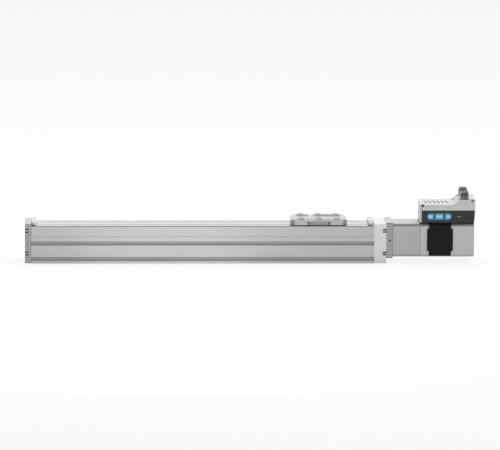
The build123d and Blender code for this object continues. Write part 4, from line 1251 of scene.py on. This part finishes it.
@dataclass
class Studio:
    """The floor, the lamps, the sky and the camera.

    Args:
        target: The point that the camera looks at, in metres.
        distance: The camera's distance from it, in metres.
        azimuth: The camera's bearing in degrees, 0 looking along +y.
        elevation: Its height above the horizon in degrees.
        lens: The focal length in millimetres.
        sensor: The width of the sensor in millimetres.
        clip: The nearest and the farthest thing that the camera sees, in metres.
        roll: The camera's turn about its own line of sight in degrees, which levels the profile.
        soft_boxes: A large lamp overhead, which no metal mirrors, and a low one in front.
        floor_span: The side of the square floor, in metres.
        floor_drop: How far it lies under the object, so that no two faces share a place.
        floor_colour: Its sRGB colour as hex, which only soft light meets.
        floor_glow: How much of the floor is plain white light to the camera. The rest takes the shadow.
        floor_strip: The brightness and half the width of a dimmer strip under the axis, in metres.
        sky_strip: The same above it, where the width is that of the view's direction.
        strip_core: The even part of both strips, as a share of their half width.
        sky_level: The strength of the soft light from all around.
        sky_tilt: How much brighter than its middle the soft light is on the right, as a share. It
            is that much dimmer on the left, so the ends that look left go grey.
        room_level: The brightness of the room behind the camera, as metal mirrors it.
        wall_level: The same of the wall behind the object.
        turnover: Half of the depth over which the room goes over into the wall.
        card_middle: The middle along x of a brighter card on the floor, which shows in the metal.
        card_half: Half of the card's even part along x.
        card_fade: The distance over which it fades out at both sides.
        card_level: That card's brightness beside the rest of the floor.
    """

    target: Point = (0.0592, -0.0225, 0.0494)
    distance: float = 7.1
    azimuth: float = -2.0
    elevation: float = 10.0
    lens: float = 406.0
    sensor: float = 36.0
    clip: Pair = (0.1, 100.0)
    roll: float = 0.33
    soft_boxes: tuple[SoftBox, ...] = (
        SoftBox("overhead_soft_box", (0.1, 0.4, 1.7), (0.06, 0.0, 0.0), (2.4, 1.2), 24.0, False),
        SoftBox("front_soft_box", (-0.04, -0.8, 0.25), (-0.04, 0.0, 0.03), (0.35, 0.3), 0.7, True))
    floor_span: float = 60.0
    floor_drop: float = 0.0002
    floor_colour: str = "#F4F4F4"
    floor_glow: float = 0.85
    floor_strip: Pair = (0.6, 0.2)
    sky_strip: Pair = (0.2, 0.6)
    strip_core: float = 0.2
    sky_level: float = 0.5
    sky_tilt: float = 0.75
    room_level: float = 0.46
    wall_level: float = 1.15
    turnover: float = 0.25
    card_middle: float = -0.04
    card_half: float = 0.06
    card_fade: float = 0.09
    card_level: float = 1.45

    def build(self) -> None:
        """Makes the whole studio."""
        self.build_floor()
        self.build_sky()
        for soft_box in self.soft_boxes:
            soft_box.hang()
        self.build_camera()

    def mirrored(self, tree: Tree, depth: Socket, strip: Pair) -> Socket:
        """Adds the brightness of the surroundings as metal mirrors them.

        Metal sees a white wall behind the object and a dimmer room on the camera's side.

        Args:
            tree: The node tree of the sky or the floor.
            depth: A socket that grows from the camera's side to the far side.
            strip: The brightness and half the width of the strip along the axis.

        Returns:
            The socket of the brightness.
        """
        room = ramp(tree, depth, (-self.turnover, self.turnover), (self.room_level, self.wall_level))
        level, half = strip
        gap = calculate(tree, "Math", "ABSOLUTE", depth)
        dimmed = ramp(tree, gap, (half * self.strip_core, half), (level, 1.0))
        return calculate(tree, "Math", "MULTIPLY", room, dimmed)

    def show(self, tree: Tree, mirrored: Socket, soft: Socket | None = None) -> Socket:
        """Adds the brightness of the surroundings by what looks at them: plain white for the camera.

        Args:
            tree: The node tree of the sky or the floor.
            mirrored: The socket of the brightness that metal sees.
            soft: The socket of the soft light that it sheds, if it sheds any.

        Returns:
            The socket of the brightness.
        """
        path = add_node(tree, "ShaderNodeLightPath").outputs
        feeds = {0: path["Is Glossy Ray"], NUMBER_B: mirrored}
        if soft is not None:
            feeds[NUMBER_A] = soft
        indirect = add_node(tree, "ShaderNodeMix", {"data_type": "FLOAT"}, feeds)
        direct = calculate(tree, "Math", "MAXIMUM", path["Is Camera Ray"], path["Is Transmission Ray"])
        return add_node(tree, "ShaderNodeMix", {"data_type": "FLOAT", NUMBER_B: 1.0},
                        {0: direct, NUMBER_A: indirect.outputs[0]}).outputs[0]

    def build_floor(self) -> None:
        """Lays a plain white floor that keeps a soft shadow."""
        deselect()
        bpy.ops.mesh.primitive_plane_add(size=self.floor_span, location=(0, 0, -self.floor_drop))
        floor = settled()
        floor.name = "studio_floor"
        paint = bpy.data.materials.new("white_studio_floor")
        tree = empty_tree(paint)
        place = add_node(tree, "ShaderNodeTexCoord").outputs["Object"]
        across = add_node(tree, "ShaderNodeSeparateXYZ", links={0: place}).outputs
        aside = calculate(tree, "Math", "SUBTRACT", across["X"], self.card_middle)
        card = ramp(tree, calculate(tree, "Math", "ABSOLUTE", aside),
                    (self.card_half, self.card_half + self.card_fade), (self.card_level, 1.0),
                    "SMOOTHSTEP")
        seen = calculate(tree, "Math", "MULTIPLY",
                         self.mirrored(tree, across["Y"], self.floor_strip), card)
        matt = add_node(tree, "ShaderNodeBsdfDiffuse", {"Color": linear(self.floor_colour)})
        glow = add_node(tree, "ShaderNodeEmission", {"Color": (1, 1, 1, 1)},
                        {"Strength": self.show(tree, seen)})
        path = add_node(tree, "ShaderNodeLightPath").outputs
        lights = calculate(tree, "Math", "MAXIMUM", path["Is Camera Ray"], path["Is Glossy Ray"])
        share = calculate(tree, "Math", "MULTIPLY", lights, self.floor_glow)
        both = add_node(tree, "ShaderNodeMixShader",
                        links={0: share, 1: matt.outputs[0], 2: glow.outputs[0]})
        add_node(tree, "ShaderNodeOutputMaterial", links={"Surface": both.outputs[0]})
        floor.data.materials.append(paint)

    def build_sky(self) -> None:
        """Makes a sky that is white to look at and softer as a light."""
        world = bpy.data.worlds.new("white_sky")
        bpy.context.scene.world = world
        tree = empty_tree(world)
        place = add_node(tree, "ShaderNodeTexCoord").outputs["Generated"]
        across = add_node(tree, "ShaderNodeSeparateXYZ", links={0: place}).outputs
        soft = ramp(tree, across["X"], (-1.0, 1.0),
                    (self.sky_level * (1 - self.sky_tilt), self.sky_level * (1 + self.sky_tilt)))
        bright = self.show(tree, self.mirrored(tree, across["Y"], self.sky_strip), soft)
        glow = add_node(tree, "ShaderNodeBackground", {"Color": (1, 1, 1, 1)}, {"Strength": bright})
        add_node(tree, "ShaderNodeOutputWorld", links={"Surface": glow.outputs[0]})

    def build_camera(self) -> None:
        """Puts the camera at the photograph's viewpoint."""
        azimuth = math.radians(self.azimuth)
        elevation = math.radians(self.elevation)
        back = Vector((math.sin(azimuth) * math.cos(elevation),
                       -math.cos(azimuth) * math.cos(elevation), math.sin(elevation)))
        data = bpy.data.cameras.new("product_camera")
        data.lens = self.lens
        data.sensor_width = self.sensor
        data.clip_start, data.clip_end = self.clip
        camera = bpy.data.objects.new("product_camera", data)
        camera.location = Vector(self.target) + back * self.distance
        camera.rotation_mode = "QUATERNION"
        level = Quaternion((0, 0, 1), math.radians(self.roll))
        camera.rotation_quaternion = (-back).to_track_quat("-Z", "Y") @ level
        bpy.context.scene.collection.objects.link(camera)
        bpy.context.scene.camera = camera


def main() -> None:
    """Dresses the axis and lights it."""
    logging.basicConfig(level=logging.INFO, format="%(name)s: %(message)s")
    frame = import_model()
    CadFinishes(frame).dress()
    BrokenEdges(frame).build()
    GroovedProfile(frame).build()
    CapScrews(frame).build()
    SlidePlate(frame).build()
    BallScrew(frame).build()
    Keypad(frame).build()
    BoardParts(frame).build()
    RoundConnectors(frame).build()
    Studio().build()
    bpy.context.scene.view_settings.view_transform = "Standard"


if __name__ == "__main__":
    main()
